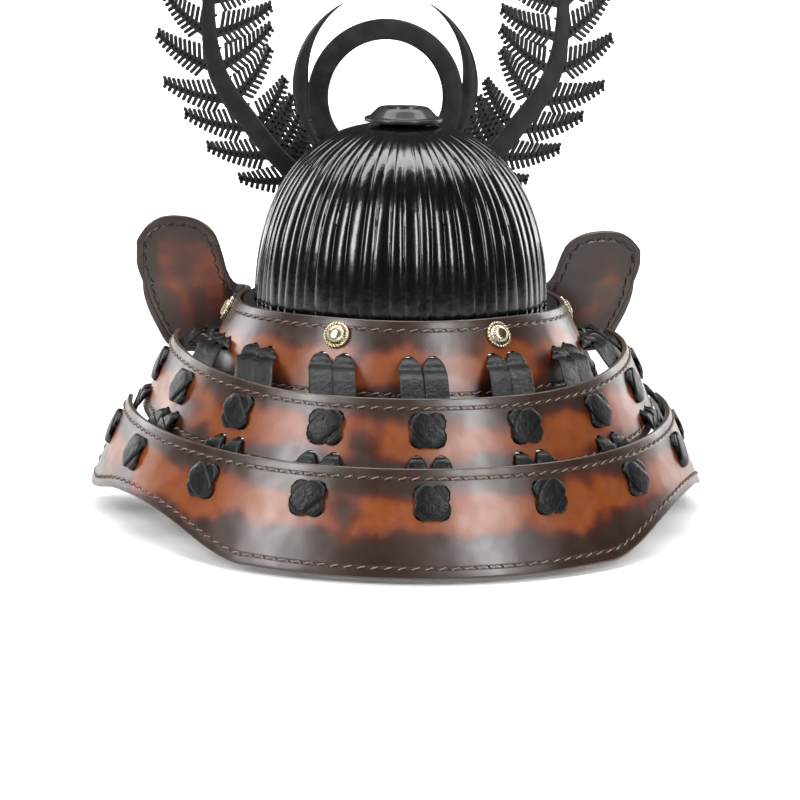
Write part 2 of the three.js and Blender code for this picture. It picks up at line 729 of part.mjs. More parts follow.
// Half the stem's width at a share of its rows.
function stemHalfWidth(share) {
  const rows = STEM.map(({ width }, i) => ({ share: i / (STEM.length - 1), width }));
  return lookUp(rows, 'share', share, 'width') / 2;
}

function stemOutline() {
  const sides = [-1, 1].map((side) => Array.from({ length: STEM_STEPS + 1 }, (_, i) => {
    const share = i / STEM_STEPS;
    const point = stemCurve.getPoint(share);
    const tangent = stemCurve.getTangent(share);
    const half = side * stemHalfWidth(share);
    return [point.x + tangent.y * half, point.y - tangent.x * half];
  }));
  return [...sides[0], ...sides[1].reverse()];
}

// One pinna as a slim leaf that grows out of the stem. side is +1 for the outer
// side.
function pinnaOutline(distance, side, length) {
  const share = stemCurve.getUtoTmapping(0, distance);
  const root = stemCurve.getPoint(share);
  const angle = side > 0 ? OUTER_PINNA_ANGLE : -INNER_PINNA_ANGLE;
  const direction = stemCurve.getTangent(share).rotateAround(new THREE.Vector2(), -radians(angle));
  const across = new THREE.Vector2(-direction.y, direction.x);
  const full = length + stemHalfWidth(share);
  const leaf = [
    { at: 0, half: 0.4 },
    { at: 0.4, half: 1 },
    { at: 1, half: 0.3 },
  ];
  const edge = (sign) => leaf.map(({ at, half }) => [
    root.x + direction.x * at * full + across.x * sign * half * PINNA_HALF_WIDTH,
    root.y + direction.y * at * full + across.y * sign * half * PINNA_HALF_WIDTH,
  ]);
  return [...edge(-1), ...edge(1).reverse()];
}

// The pairs of pinnae that the stem has room for.
const pairs = Math.floor((stemCurve.getLength() - PINNA_START) / PINNA_PITCH) + 1;

function frondSolid(mirror) {
  const place = (outline) => outline.map(([x, z]) => [mirror * x, z]);
  const pinnae = PINNAE.slice(0, pairs).flatMap(({ outer, inner }, i) => {
    const distance = PINNA_START + i * PINNA_PITCH;
    return [
      { side: 1, length: outer * PINNA_LENGTH },
      { side: -1, length: inner * PINNA_LENGTH },
    ].filter(({ length }) => length > 0).map(({ side, length }) => (
      plate(place(pinnaOutline(distance, side, length)), PINNA_THICKNESS)
    ));
  });
  return join([plate(place(stemOutline()), STEM_THICKNESS), ...pinnae]);
}

// The base block in front of the bowl, with a slot for each tang.
function baseSolid() {
  const block = new THREE.BoxGeometry(2 * BASE_HALF_WIDTH, BASE_THICKNESS, BASE_HEIGHT);
  block.translate(0, -crestFace, baseFoot + BASE_HEIGHT / 2);
  const slot = (x, width, thickness, foot) => {
    const height = baseTop - foot + CLEARANCE + THROUGH;
    const box = new THREE.BoxGeometry(width + 2 * CLEARANCE, thickness + 2 * CLEARANCE, height);
    return box.translate(x, -crestFace, foot - CLEARANCE + height / 2);
  };
  const stem = STEM[0];
  const stemSlots = [-1, 1].map((side) => (
    slot(side * (stem.x + STEM[1].x) / 2, stem.width + 2, STEM_THICKNESS, stem.z)
  ));
  return cut(block, [slot(0, TANG_WIDTH, CREST_PLATE, baseTop - TANG_DEPTH), ...stemSlots]);
}

// The helmet

const helmet = new THREE.Group();

function addPiece(name, geometry, material) {
  const mesh = new THREE.Mesh(geometry, material);
  mesh.name = name;
  helmet.add(mesh);
}

const topSheet = wall([
  ...earSections(-1).reverse(),
  ...sectionAngles(TOP_LAME).map((degrees) => lameSection(TOP_LAME, degrees)),
  ...earSections(1),
]);
const middleSheet = wall(sectionAngles(MIDDLE_LAME).map((degrees) => lameSection(MIDDLE_LAME, degrees)));
const bottomSheet = wall(sectionAngles(BOTTOM_LAME).map((degrees) => lameSection(BOTTOM_LAME, degrees)));

addPiece('bowl', bowlSolid(), lacquer);
addPiece('finial', finialSolid(), lacquer);
addPiece('rim_band', bandSolid(), lacquer);
addPiece('visor', visorSolid(), lacquer);
addPiece('lame_top', cut(topSheet, [...slotsDown(TOP_LAME), ...STUD_ANGLES.map(studHole)]), leather);
addPiece('lame_middle', cut(middleSheet, [...slotsUp(MIDDLE_LAME), ...slotsDown(MIDDLE_LAME)]), leather);
addPiece('lame_bottom', cut(bottomSheet, slotsUp(BOTTOM_LAME)), leather);
columns.forEach((column, i) => {
  addPiece(`lace_upper_${i + 1}`, laceSolid(TOP_LAME, MIDDLE_LAME, column), lace);
  addPiece(`lace_lower_${i + 1}`, laceSolid(MIDDLE_LAME, BOTTOM_LAME, column), lace);
});
STUD_ANGLES.forEach((degrees, i) => addPiece(`stud_${i + 1}`, studSolid(degrees), brass));
addPiece('crest_base', baseSolid(), lacquer);
addPiece('crest_ring', ringSolid(), darkMetal);
addPiece('crest_crescent', crescentSolid(), darkMetal);
addPiece('fern_left', frondSolid(1), darkMetal);
addPiece('fern_right', frondSolid(-1), darkMetal);

export default helmet;
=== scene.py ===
"""Looks of a half-size kabuto helmet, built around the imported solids.

Sizes are in millimetres until a mesh is made. The face side looks along -Y, +Z
is up and the origin is the middle of the bowl's rim. An angle on a lame is
counted in degrees from the middle of the back, positive towards +X.
"""

import logging
import math
from dataclasses import dataclass, field
from enum import Enum

import bpy
import numpy as np
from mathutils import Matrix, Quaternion, Vector


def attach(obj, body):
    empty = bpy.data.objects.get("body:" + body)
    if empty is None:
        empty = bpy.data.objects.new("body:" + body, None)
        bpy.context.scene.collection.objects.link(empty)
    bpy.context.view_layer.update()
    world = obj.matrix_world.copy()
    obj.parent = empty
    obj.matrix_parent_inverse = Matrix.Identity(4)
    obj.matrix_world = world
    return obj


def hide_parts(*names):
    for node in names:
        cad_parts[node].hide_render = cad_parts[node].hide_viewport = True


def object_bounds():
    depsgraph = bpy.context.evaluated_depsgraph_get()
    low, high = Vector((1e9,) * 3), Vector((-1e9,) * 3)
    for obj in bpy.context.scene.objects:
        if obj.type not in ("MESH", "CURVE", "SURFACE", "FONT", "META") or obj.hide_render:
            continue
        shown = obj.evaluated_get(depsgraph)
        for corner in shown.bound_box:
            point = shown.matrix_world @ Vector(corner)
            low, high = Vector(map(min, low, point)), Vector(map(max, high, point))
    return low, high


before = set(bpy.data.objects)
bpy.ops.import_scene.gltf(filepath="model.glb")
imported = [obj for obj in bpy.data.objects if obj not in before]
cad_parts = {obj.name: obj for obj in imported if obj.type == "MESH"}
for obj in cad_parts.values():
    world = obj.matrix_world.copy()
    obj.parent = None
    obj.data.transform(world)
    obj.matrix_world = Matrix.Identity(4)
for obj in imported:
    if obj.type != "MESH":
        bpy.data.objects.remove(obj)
CAD_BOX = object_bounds()

Array = np.ndarray
Value = object
MM = 0.001
BODY = "root"
LEATHER = 2.0
CREST_Y = -75.4
log = logging.getLogger("kabuto")


# Surfaces

def blend(low: Value, high: Value, share: Value) -> Value:
    """The value that lies at a share of the way from low to high."""
    return low + (high - low) * share


def smoothstep(value: Array, low: float, high: float) -> Array:
    """An even rise from 0 at low to 1 at high."""
    share = np.clip((value - low) / (high - low), 0, 1)
    return share * share * (3 - 2 * share)


def unit(vectors: Array) -> Array:
    """The vectors, each divided by its length."""
    return vectors / np.linalg.norm(vectors, axis=-1, keepdims=True)


def spline(points: Array, samples: int) -> Array:
    """A smooth curve through points: between two of them it is the cubic whose
    slope at each point is half the way between its neighbours.

    Args:
        points: the points, one row each.
        samples: how many even steps of the curve's own parameter come back.

    Returns:
        The points of the curve, one row each.
    """
    position = np.linspace(0, len(points) - 1, samples)
    start = np.minimum(position.astype(int), len(points) - 2)
    share = (position - start)[:, None]
    last = len(points) - 1
    before, here = points[np.maximum(start - 1, 0)], points[start]
    there, after = points[start + 1], points[np.minimum(start + 2, last)]
    slope, next_slope = (there - before) / 2, (after - here) / 2
    cubic = 2 * (here - there) + slope + next_slope
    square = 3 * (there - here) - 2 * slope - next_slope
    return ((cubic * share + square) * share + slope) * share + here


def even_steps(points: Array, step: float) -> tuple[Array, Array]:
    """Walks along a line of points in even steps.

    Args:
        points: the line's points, one row each.
        step: the length of a step, stretched so that a whole number fits.

    Returns:
        The points at the middle of each step and the position of each, counted
        in the line's points.
    """
    lengths = np.linalg.norm(np.diff(points, axis=0), axis=1)
    travelled = np.concatenate([[0], np.cumsum(lengths)])
    count = max(1, round(travelled[-1] / step))
    wanted = (np.arange(count) + 0.5) * travelled[-1] / count
    position = np.interp(wanted, travelled, np.arange(len(points)))
    places = np.stack([np.interp(wanted, travelled, axis) for axis in points.T], axis=1)
    return places, position


def tube_quads(rows: int, columns: int, ring: bool = False) -> Array:
    """The quads of a tube: each row of points closes on itself, and the rows
    either run round in a ring or have their ends closed by strips across.

    Args:
        rows: how many rows of points the tube has.
        columns: how many points a row has, an even number.
        ring: whether the last row joins the first.

    Returns:
        Four point numbers for each quad.
    """
    index = np.arange(rows * columns).reshape(rows, columns)
    if ring:
        index = np.vstack([index, index[:1]])
    beside = np.roll(index, -1, axis=1)
    sides = np.stack([index[:-1], beside[:-1], beside[1:], index[1:]], axis=-1).reshape(-1, 4)
    if ring:
        return sides
    half = columns // 2
    caps = []
    for row, turn in ((index[0], 1), (index[-1], -1)):
        near, far = row[:half], row[::-1][:half]
        strip = np.stack([near[:-1], far[:-1], far[1:], near[1:]], axis=-1)
        caps.append(strip[:, ::turn])
    return np.vstack([sides, *caps])


def ribbon(path: Array, across: Array, width: Value, thickness: Value, columns: int = 14,
           squareness: float = 4.0) -> Array:
    """A strip carried along a path. Its section is a superellipse: across it goes
    cos(a)**(2/squareness) of half the width, and through it sin(a) likewise.

    Args:
        path: the middle line's points, one row each.
        across: the direction over the strip's width at each point.
        width: the strip's width, one number or one for each point.
        thickness: the strip's thickness, likewise.
        columns: how many points go round the section.
        squareness: 2 is an ellipse, and larger is a squarer section.

    Returns:
        A grid of points, a row for each point of the path.
    """
    forward = unit(np.gradient(path, axis=0))
    across = np.broadcast_to(across, path.shape)
    across = unit(across - (across * forward).sum(1, keepdims=True) * forward)
    through = np.cross(across, forward)
    angle = (np.arange(columns) + 0.5) * 2 * np.pi / columns
    power = 2 / squareness
    wide = np.sign(np.cos(angle)) * np.abs(np.cos(angle)) ** power
    deep = np.sign(np.sin(angle)) * np.abs(np.sin(angle)) ** power
    half_width = np.broadcast_to(width, len(path))[:, None, None] / 2
    half_depth = np.broadcast_to(thickness, len(path))[:, None, None] / 2
    return (path[:, None] + across[:, None] * wide[None, :, None] * half_width
            + through[:, None] * deep[None, :, None] * half_depth)


@dataclass
class Shell:
    """The skin of one piece, gathered from closed surfaces before it is a mesh."""

    points: list[Array] = field(default_factory=list)
    quads: list[Array] = field(default_factory=list)
    maps: list[Array] = field(default_factory=list)
    count: int = 0

    def add(self, points: Array, quads: Array, maps: Array | None = None) -> None:
        """Adds a closed surface, turned so that its faces point outwards.

        Args:
            points: a grid or a list of points, in millimetres.
            quads: four point numbers for each face.
            maps: for each point its lie, length along the hide and distance into
                the open face, and its rim, distance from the edge and depth in
                the hide.
        """
        flat = points.reshape(-1, 3)
        a, b, c, d = (flat[quads[:, k]] - flat.mean(0) for k in range(4))
        volume = (np.cross(a, b) * c + np.cross(a, c) * d).sum()
        self.points.append(flat)
        self.quads.append((quads if volume > 0 else quads[:, ::-1]) + self.count)
        self.maps.append(np.zeros((len(flat), 4)) if maps is None else maps.reshape(-1, 4))
        self.count += len(flat)

    def add_copies(self, grids: Array, quads: Array) -> None:
        """Adds many closed surfaces of one layout.

        Args:
            grids: the points, the first axis counting the copies.
            quads: the faces of one copy.
        """
        copies = grids.reshape(len(grids), -1, 3)
        shift = np.arange(len(copies))[:, None, None] * copies.shape[1]
        self.add(copies.reshape(-1, 3), (quads[None] + shift).reshape(-1, 4))

    def build(self, name: str, sharp: float = 40) -> bpy.types.Object:
        """Makes the mesh object.

        Args:
            name: the object's name.
            sharp: degrees between two faces from which their edge stays sharp.

        Returns:
            The object, in metres, standing at the origin.
        """
        points, quads = np.vstack(self.points) * MM, np.vstack(self.quads).astype(np.int32)
        mesh = bpy.data.meshes.new(name)
        mesh.vertices.add(len(points))
        mesh.vertices.foreach_set("co", points.astype(np.float32).ravel())
        mesh.loops.add(quads.size)
        mesh.loops.foreach_set("vertex_index", quads.ravel())
        mesh.polygons.add(len(quads))
        mesh.polygons.foreach_set("loop_start", np.arange(0, quads.size, 4, dtype=np.int32))
        mesh.update(calc_edges=True)
        corners = (np.vstack(self.maps) * MM)[quads.ravel()].astype(np.float32)
        for title, columns in (("lie", corners[:, :2]), ("rim", corners[:, 2:])):
            layer = mesh.uv_layers.new(name=title)
            layer.data.foreach_set("uv", columns.ravel())
        mesh.validate()
        mesh.shade_smooth()
        mesh.set_sharp_from_angle(angle=math.radians(sharp))
        piece = bpy.data.objects.new(name, mesh)
        bpy.context.scene.collection.objects.link(piece)
        return piece


def drill(piece: bpy.types.Object, holes: Shell) -> None:
    """Cuts round holes out of a piece.

    Args:
        piece: the piece that is cut.
        holes: the closed shapes that are taken away.
    """
    drills = holes.build("drills")
    cut = piece.modifiers.new("holes", "BOOLEAN")
    cut.operation = "DIFFERENCE"
    cut.solver = "EXACT"
    cut.object = drills
    evaluated = piece.evaluated_get(bpy.context.evaluated_depsgraph_get())
    mesh = bpy.data.meshes.new_from_object(evaluated)
    mesh.name = piece.name
    piece.modifiers.clear()
    piece.data = mesh
    mesh.shade_smooth()
    mesh.set_sharp_from_angle(angle=math.radians(40))
    bpy.data.objects.remove(drills)


# Finishes

def linear(hex_colour: str) -> tuple[float, float, float, float]:
    """Turns an sRGB colour such as #8b4420 to linear light, with full alpha."""
    channels = [int(hex_colour[i:i + 2], 16) / 255 for i in (1, 3, 5)]
    return (*(c / 12.92 if c <= 0.04045 else ((c + 0.055) / 1.055) ** 2.4 for c in channels), 1.0)


def add(tree: bpy.types.NodeTree, kind: str, inputs: dict | None = None, ramp: Value = None,
        **settings: Value) -> bpy.types.Node:
    """Adds a node with its settings and links.

    Args:
        tree: the material's node tree.
        kind: the node's type, without the words ShaderNode in front.
        inputs: for each input, by name or number, a value or the socket that
            feeds it.
        ramp: for a colour ramp, the position and colour of each stop.
        **settings: the node's own properties.

    Returns:
        The node.
    """
    node = tree.nodes.new("ShaderNode" + kind)
    for key, value in settings.items():
        setattr(node, key, value)
    for key, value in (inputs or {}).items():
        if isinstance(value, bpy.types.NodeSocket):
            tree.links.new(value, node.inputs[key])
        else:
            node.inputs[key].default_value = value
    for i, (position, colour) in enumerate(ramp or ()):
        stops = node.color_ramp.elements
        stop = stops[i] if i < len(stops) else stops.new(position)
        stop.position = position
        stop.color = linear(colour)
    return node


def per_mm(length: float) -> float:
    """The texture scale whose features are about this many millimetres wide."""
    return 1 / (length * MM)


@dataclass(frozen=True)
class Finish:
    """A surface finish. Each kind of finish fills in its own nodes."""

    name: str

    def material(self) -> bpy.types.Material:
        """The finish's material, made once and shared.

        Returns:
            The material.
        """
        made = bpy.data.materials.get(self.name)
        if made is None:
            made = bpy.data.materials.new(self.name)
            made.use_nodes = True
            made.node_tree.nodes.clear()
            shader = self.shade(made.node_tree)
            add(made.node_tree, "OutputMaterial", {"Surface": shader.outputs[0]})
        return made

    def shade(self, tree: bpy.types.NodeTree) -> bpy.types.Node:
        """Adds the finish's nodes and gives its shader."""
        raise NotImplementedError

    def noise(self, tree: bpy.types.NodeTree, source: Value, size: float, detail: float = 3.0,
              roughness: float = 0.5) -> bpy.types.NodeSocket:
        """Adds a noise whose blots are about size millimetres wide.

        Args:
            tree: the material's node tree.
            source: the socket of the coordinates.
            size: the width of a blot, in millimetres.
            detail: how many finer layers lie on the blots.
            roughness: how strong the finer layers are.

        Returns:
            The noise's value, from 0 to 1.
        """
        values = {"Vector": source, "Scale": per_mm(size), "Detail": detail, "Roughness": roughness}
        return add(tree, "TexNoise", values).outputs["Fac"]

    def ramp(self, tree: bpy.types.NodeTree, value: Value, low: float, high: float,
             to_low: float = 0.0, to_high: float = 1.0) -> bpy.types.NodeSocket:
        """Adds a smooth ramp from one range to another.

        Args:
            tree: the material's node tree.
            value: the socket that is read.
            low: the value that gives to_low.
            high: the value that gives to_high.
            to_low: what comes out at low.
            to_high: what comes out at high.

        Returns:
            The mapped value.
        """
        values = {"Value": value, 1: low, 2: high, 3: to_low, 4: to_high}
        return add(tree, "MapRange", values, interpolation_type="SMOOTHSTEP").outputs[0]

    def mix(self, tree: bpy.types.NodeTree, share: Value, below: Value,
            above: Value) -> bpy.types.NodeSocket:
        """Adds a mix of two colours, sockets or hex values, by a share.

        Args:
            tree: the material's node tree.
            share: the socket that says how much of above there is.
            below: the colour at 0.
            above: the colour at 1.

        Returns:
            The mixed colour.
        """
        sides = [linear(side) if isinstance(side, str) else side for side in (below, above)]
        values = {0: share, 6: sides[0], 7: sides[1]}
        return add(tree, "Mix", values, data_type="RGBA").outputs[2]

    def math(self, tree: bpy.types.NodeTree, operation: str, *values: Value) -> bpy.types.NodeSocket:
        """Adds one step of arithmetic on sockets or numbers."""
        return add(tree, "Math", dict(enumerate(values)), operation=operation).outputs[0]


@dataclass(frozen=True)
class BurnishedLeather(Finish):
    """Vegetable-tanned cowhide, dyed orange-brown and burnished dark towards its
    edges by hand, with a waxed satin face, a slicked edge and a rough flesh side."""

    # from the burnished rim to the open face
    stain: tuple[tuple[float, str], ...] = (
        (0.0, "#28150d"), (0.3, "#35190d"), (0.55, "#4e200f"), (0.8, "#6a3010"), (1.0, "#7a3c12"),
    )
    # the cut walls' colour: the raw edge's own tone, made lighter as a painted highlight where the rims
    # catch the light
    edge: str = "#4e3d36"
    flesh: str = "#171415"
    soft: float = 8.0
    stitch_inset: float = 3.6
    # widths of the scallops and fingers of dye, and how far they creep
    scallop_size: float = 24
    scallop_reach: float = 9
    finger_size: float = 9
    finger_reach: float = 2
    blot_size: float = 30
    mottle_size: float = 4
    grain_size: float = 0.55

    def shade(self, tree: bpy.types.NodeTree) -> bpy.types.Node:
        """Adds the leather's nodes.

        Args:
            tree: the material's node tree.

        Returns:
            The shader.
        """
        space = add(tree, "TexCoord").outputs["Object"]
        burn = add(tree, "SeparateXYZ", {0: add(tree, "UVMap", uv_map="lie").outputs[0]}).outputs["Y"]
        rim = add(tree, "SeparateXYZ", {0: add(tree, "UVMap", uv_map="rim").outputs[0]})
        inside, depth = rim.outputs["X"], rim.outputs["Y"]
        # the dye creeps in and out along the edge in hand-sized scallops
        scallop = self.noise(tree, space, self.scallop_size, 1.5)
        finger = self.noise(tree, space, self.finger_size, 2.0)
        creep, ragged = (self.math(tree, "MULTIPLY_ADD", dye, 2 * reach * MM, -reach * MM)
                         for dye, reach in ((scallop, self.scallop_reach), (finger, self.finger_reach)))
        shifted = self.math(tree, "ADD", burn, self.math(tree, "ADD", creep, ragged))
        open_face = self.ramp(tree, shifted, -3.0 * MM, (self.soft - 3) * MM)
        # here and there the dark runs right across the hide
        blot = self.ramp(tree, self.noise(tree, space, self.blot_size, 1.5), 0.33, 0.47, 0.25)
        mottle = self.ramp(tree, self.noise(tree, space, self.mottle_size, 5.0, 0.6), 0.2, 0.8,
                           0.86, 1.06)
        light = self.math(tree, "MULTIPLY", self.math(tree, "MULTIPLY", open_face, blot), mottle)
        face = add(tree, "ValToRGB", {0: light}, ramp=self.stain).outputs[0]
        # cut walls and rounded edges take the edge colour: raw edge tone plus a painted highlight on the
        # rims
        cut = self.ramp(tree, depth, 0.12 * MM, 0.4 * MM)
        wall = self.mix(tree, cut, face, self.edge)
        back = self.ramp(tree, depth, 1.8 * MM, 1.95 * MM)
        fleece = self.mix(tree, self.noise(tree, space, 1.6, 4.0), self.flesh, "#2b2727")
        colour = self.mix(tree, back, wall, fleece)
        grain = self.noise(tree, space, self.grain_size, 3.0, 0.6)
        gloss = self.ramp(tree, self.noise(tree, space, 9, 3.0), 0.3, 0.7, 0.3, 0.4)
        rough = self.math(tree, "MAXIMUM", gloss, self.math(tree, "MULTIPLY", back, 0.85))
        # a shallow crease carries the stitches
        off_line = self.math(tree, "SUBTRACT", inside, self.stitch_inset * MM)
        crease = self.ramp(tree, self.math(tree, "ABSOLUTE", off_line), 0.2 * MM, 0.9 * MM)
        swell = self.noise(tree, space, 14, 1.0)
        low_relief = self.math(tree, "MULTIPLY", crease, 0.2)
        height = self.math(tree, "MULTIPLY_ADD", grain, 0.03, low_relief)
        height = self.math(tree, "MULTIPLY_ADD", swell, 0.5, height)
        bump = add(tree, "Bump", {"Height": height, "Distance": 1.0 * MM, "Strength": 1.0})
        values = {"Base Color": colour, "Roughness": rough, "Normal": bump.outputs[0],
                  "IOR": 1.5, "Specular IOR Level": 0.55, "Coat Weight": 0.2, "Coat Roughness": 0.3}
        return add(tree, "BsdfPrincipled", values)


@dataclass(frozen=True)
class LaceLeather(Finish):
    """Black drum-dyed lacing cut from thin cowhide: satin, with a fine pebbled
    grain that catches the light as bluish grey."""

    dark: str = "#060607"
    worn: str = "#0e0f12"

    def shade(self, tree: bpy.types.NodeTree) -> bpy.types.Node:
        """Adds the lacing's nodes.

        Args:
            tree: the material's node tree.

        Returns:
            The shader.
        """
        space = add(tree, "TexCoord").outputs["Object"]
        colour = self.mix(tree, self.noise(tree, space, 4, 4.0), self.dark, self.worn)
        grain = add(tree, "TexVoronoi", {"Vector": space, "Scale": per_mm(0.6)},
                    feature="SMOOTH_F1").outputs["Distance"]
        crumple = self.noise(tree, space, 1.8, 3.0)
        height = self.math(tree, "MULTIPLY_ADD", crumple, 0.9, self.math(tree, "MULTIPLY", grain, 0.25))
        bump = add(tree, "Bump", {"Height": height, "Distance": 0.25 * MM, "Strength": 1.0})
        gloss = self.ramp(tree, self.noise(tree, space, 2.5, 2.0), 0.3, 0.7, 0.34, 0.46)
        values = {"Base Color": colour, "Roughness": gloss, "Normal": bump.outputs[0],
                  "IOR": 1.5, "Specular IOR Level": 0.25}
        return add(tree, "BsdfPrincipled", values)


@dataclass(frozen=True)
class Lacquer(Finish):
    """Black lacquer brushed over a moulded shell and rubbed to a gloss, which
    shows the lights as long streaks, with a faint smear of tone at random."""

    colour: str = "#020203"
    gloss: float = 0.18
    waviness: float = 0.12

    def shade(self, tree: bpy.types.NodeTree) -> bpy.types.Node:
        """Adds the lacquer's nodes.

        Args:
            tree: the material's node tree.

        Returns:
            The shader.
        """
        space = add(tree, "TexCoord").outputs["Object"]
        smear = self.noise(tree, space, 5, 4.0)
        colour = self.mix(tree, smear, self.colour, "#050506")
        rough = self.ramp(tree, smear, 0.3, 0.75, self.gloss, self.gloss + 0.05)
        wave = self.noise(tree, space, 3.5, 2.0)
        bump = add(tree, "Bump", {"Height": wave, "Distance": self.waviness * MM, "Strength": 1.0})
        values = {"Base Color": colour, "Roughness": rough, "Normal": bump.outputs[0], "IOR": 1.5,
                  "Specular IOR Level": 0.42, "Coat Weight": 0.25, "Coat Roughness": 0.08}
        return add(tree, "BsdfPrincipled", values)


@dataclass(frozen=True)
class DarkIron(Finish):
    """Sheet iron cut out and painted brown-black, satin, rubbed in patches here
    and there to show a trace of warm metal."""

    colour: str = "#0d0b0a"
    rubbed: str = "#1b1714"

    def shade(self, tree: bpy.types.NodeTree) -> bpy.types.Node:
        """Adds the sheet iron's nodes.

        Args:
            tree: the material's node tree.

        Returns:
            The shader.
        """
        space = add(tree, "TexCoord").outputs["Object"]
        worn = self.ramp(tree, self.noise(tree, space, 6, 5.0), 0.35, 0.75)
        colour = self.mix(tree, worn, self.colour, self.rubbed)
        rough = self.ramp(tree, worn, 0, 1, 0.36, 0.5)
        peel = self.noise(tree, space, 0.8, 2.0)
        bump = add(tree, "Bump", {"Height": peel, "Distance": 0.06 * MM, "Strength": 1.0})
        values = {"Base Color": colour, "Roughness": rough, "Normal": bump.outputs[0],
                  "Metallic": 0.2, "Specular IOR Level": 0.5}
        return add(tree, "BsdfPrincipled", values)


@dataclass(frozen=True)
class AntiqueBrass(Finish):
    """Stamped brass, silvered pale by age, bright on its high spots and brown
    where the tarnish was left in the hollows."""

    bright: str = "#b3a78f"
    tarnish: str = "#241d16"

    def shade(self, tree: bpy.types.NodeTree) -> bpy.types.Node:
        """Adds the brass's nodes.

        Args:
            tree: the material's node tree.

        Returns:
            The shader.
        """
        space = add(tree, "TexCoord").outputs["Object"]
        hollow = add(tree, "AmbientOcclusion", {"Distance": 1.2 * MM}, samples=8).outputs["AO"]
        clean = self.ramp(tree, hollow, 0.4, 0.85)
        patch = self.ramp(tree, self.noise(tree, space, 2.2, 4.0), 0.15, 0.45, 0.45)
        colour = self.mix(tree, self.math(tree, "MULTIPLY", clean, patch), self.tarnish, self.bright)
        rough = self.ramp(tree, patch, 0, 1, 0.42, 0.24)
        values = {"Base Color": colour, "Roughness": rough, "Metallic": 1.0}
        return add(tree, "BsdfPrincipled", values)


@dataclass(frozen=True)
class WaxedThread(Finish):
    """Twisted linen thread pulled through wax: dull, with the twist as fine
    slanting ridges."""

    colour: str = "#8f7564"
    shadow: str = "#4c3931"

    def shade(self, tree: bpy.types.NodeTree) -> bpy.types.Node:
        """Adds the thread's nodes.

        Args:
            tree: the material's node tree.

        Returns:
            The shader.
        """
        space = add(tree, "TexCoord").outputs["Object"]
        fibre = self.noise(tree, space, 0.5, 2.0)
        colour = self.mix(tree, self.ramp(tree, fibre, 0.3, 0.7), self.shadow, self.colour)
        bump = add(tree, "Bump", {"Height": fibre, "Distance": 0.2 * MM, "Strength": 1.0})
        values = {"Base Color": colour, "Roughness": 0.6, "Normal": bump.outputs[0]}
        return add(tree, "BsdfPrincipled", values)


@dataclass(frozen=True)
class StudioPaper(Finish):
    """Plain matt background paper."""

    colour: str = "#f4f3f1"

    def shade(self, tree: bpy.types.NodeTree) -> bpy.types.Node:
        """Adds the paper's shader."""
        return add(tree, "BsdfPrincipled", {"Base Color": linear(self.colour), "Roughness": 0.9})


LEATHER_FINISH = BurnishedLeather("vegetable_tanned_cowhide_burnished")
LACE_FINISH = LaceLeather("black_cowhide_lacing")
BOWL_FINISH = Lacquer("black_lacquer_rubbed")
CROWN_FINISH = Lacquer("black_lacquer_matt_crown", gloss=0.42, waviness=0.12)
CREST_FINISH = DarkIron("sheet_iron_painted")
BRASS_FINISH = AntiqueBrass("stamped_brass_aged")
THREAD_FINISH = WaxedThread("waxed_linen_thread")
EAR_THREAD_FINISH = WaxedThread("waxed_linen_thread_dark", "#1c110e", "#0c0706")
# painted shade: the slits' near-black colour stands for the shade inside the awl cuts
SLIT_SHADE_FINISH = WaxedThread("awl_cut_painted_shade", "#080504", "#020101")


def dress(piece: bpy.types.Object, finish: Finish, slot: str, *nodes: str) -> None:
    """Gives a piece its finish and its place in the frame.

    Args:
        piece: the finished piece.
        finish: its surface finish.
        slot: the record's material slot that it belongs to; not used.
        *nodes: the solids that it stands for.
    """
    piece.data.materials.clear()
    piece.data.materials.append(finish.material())
    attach(piece, BODY)
    if nodes:
        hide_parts(*nodes)
    log.info("%s: %d faces", piece.name, len(piece.data.polygons))


# The bowl and what sits on its rim

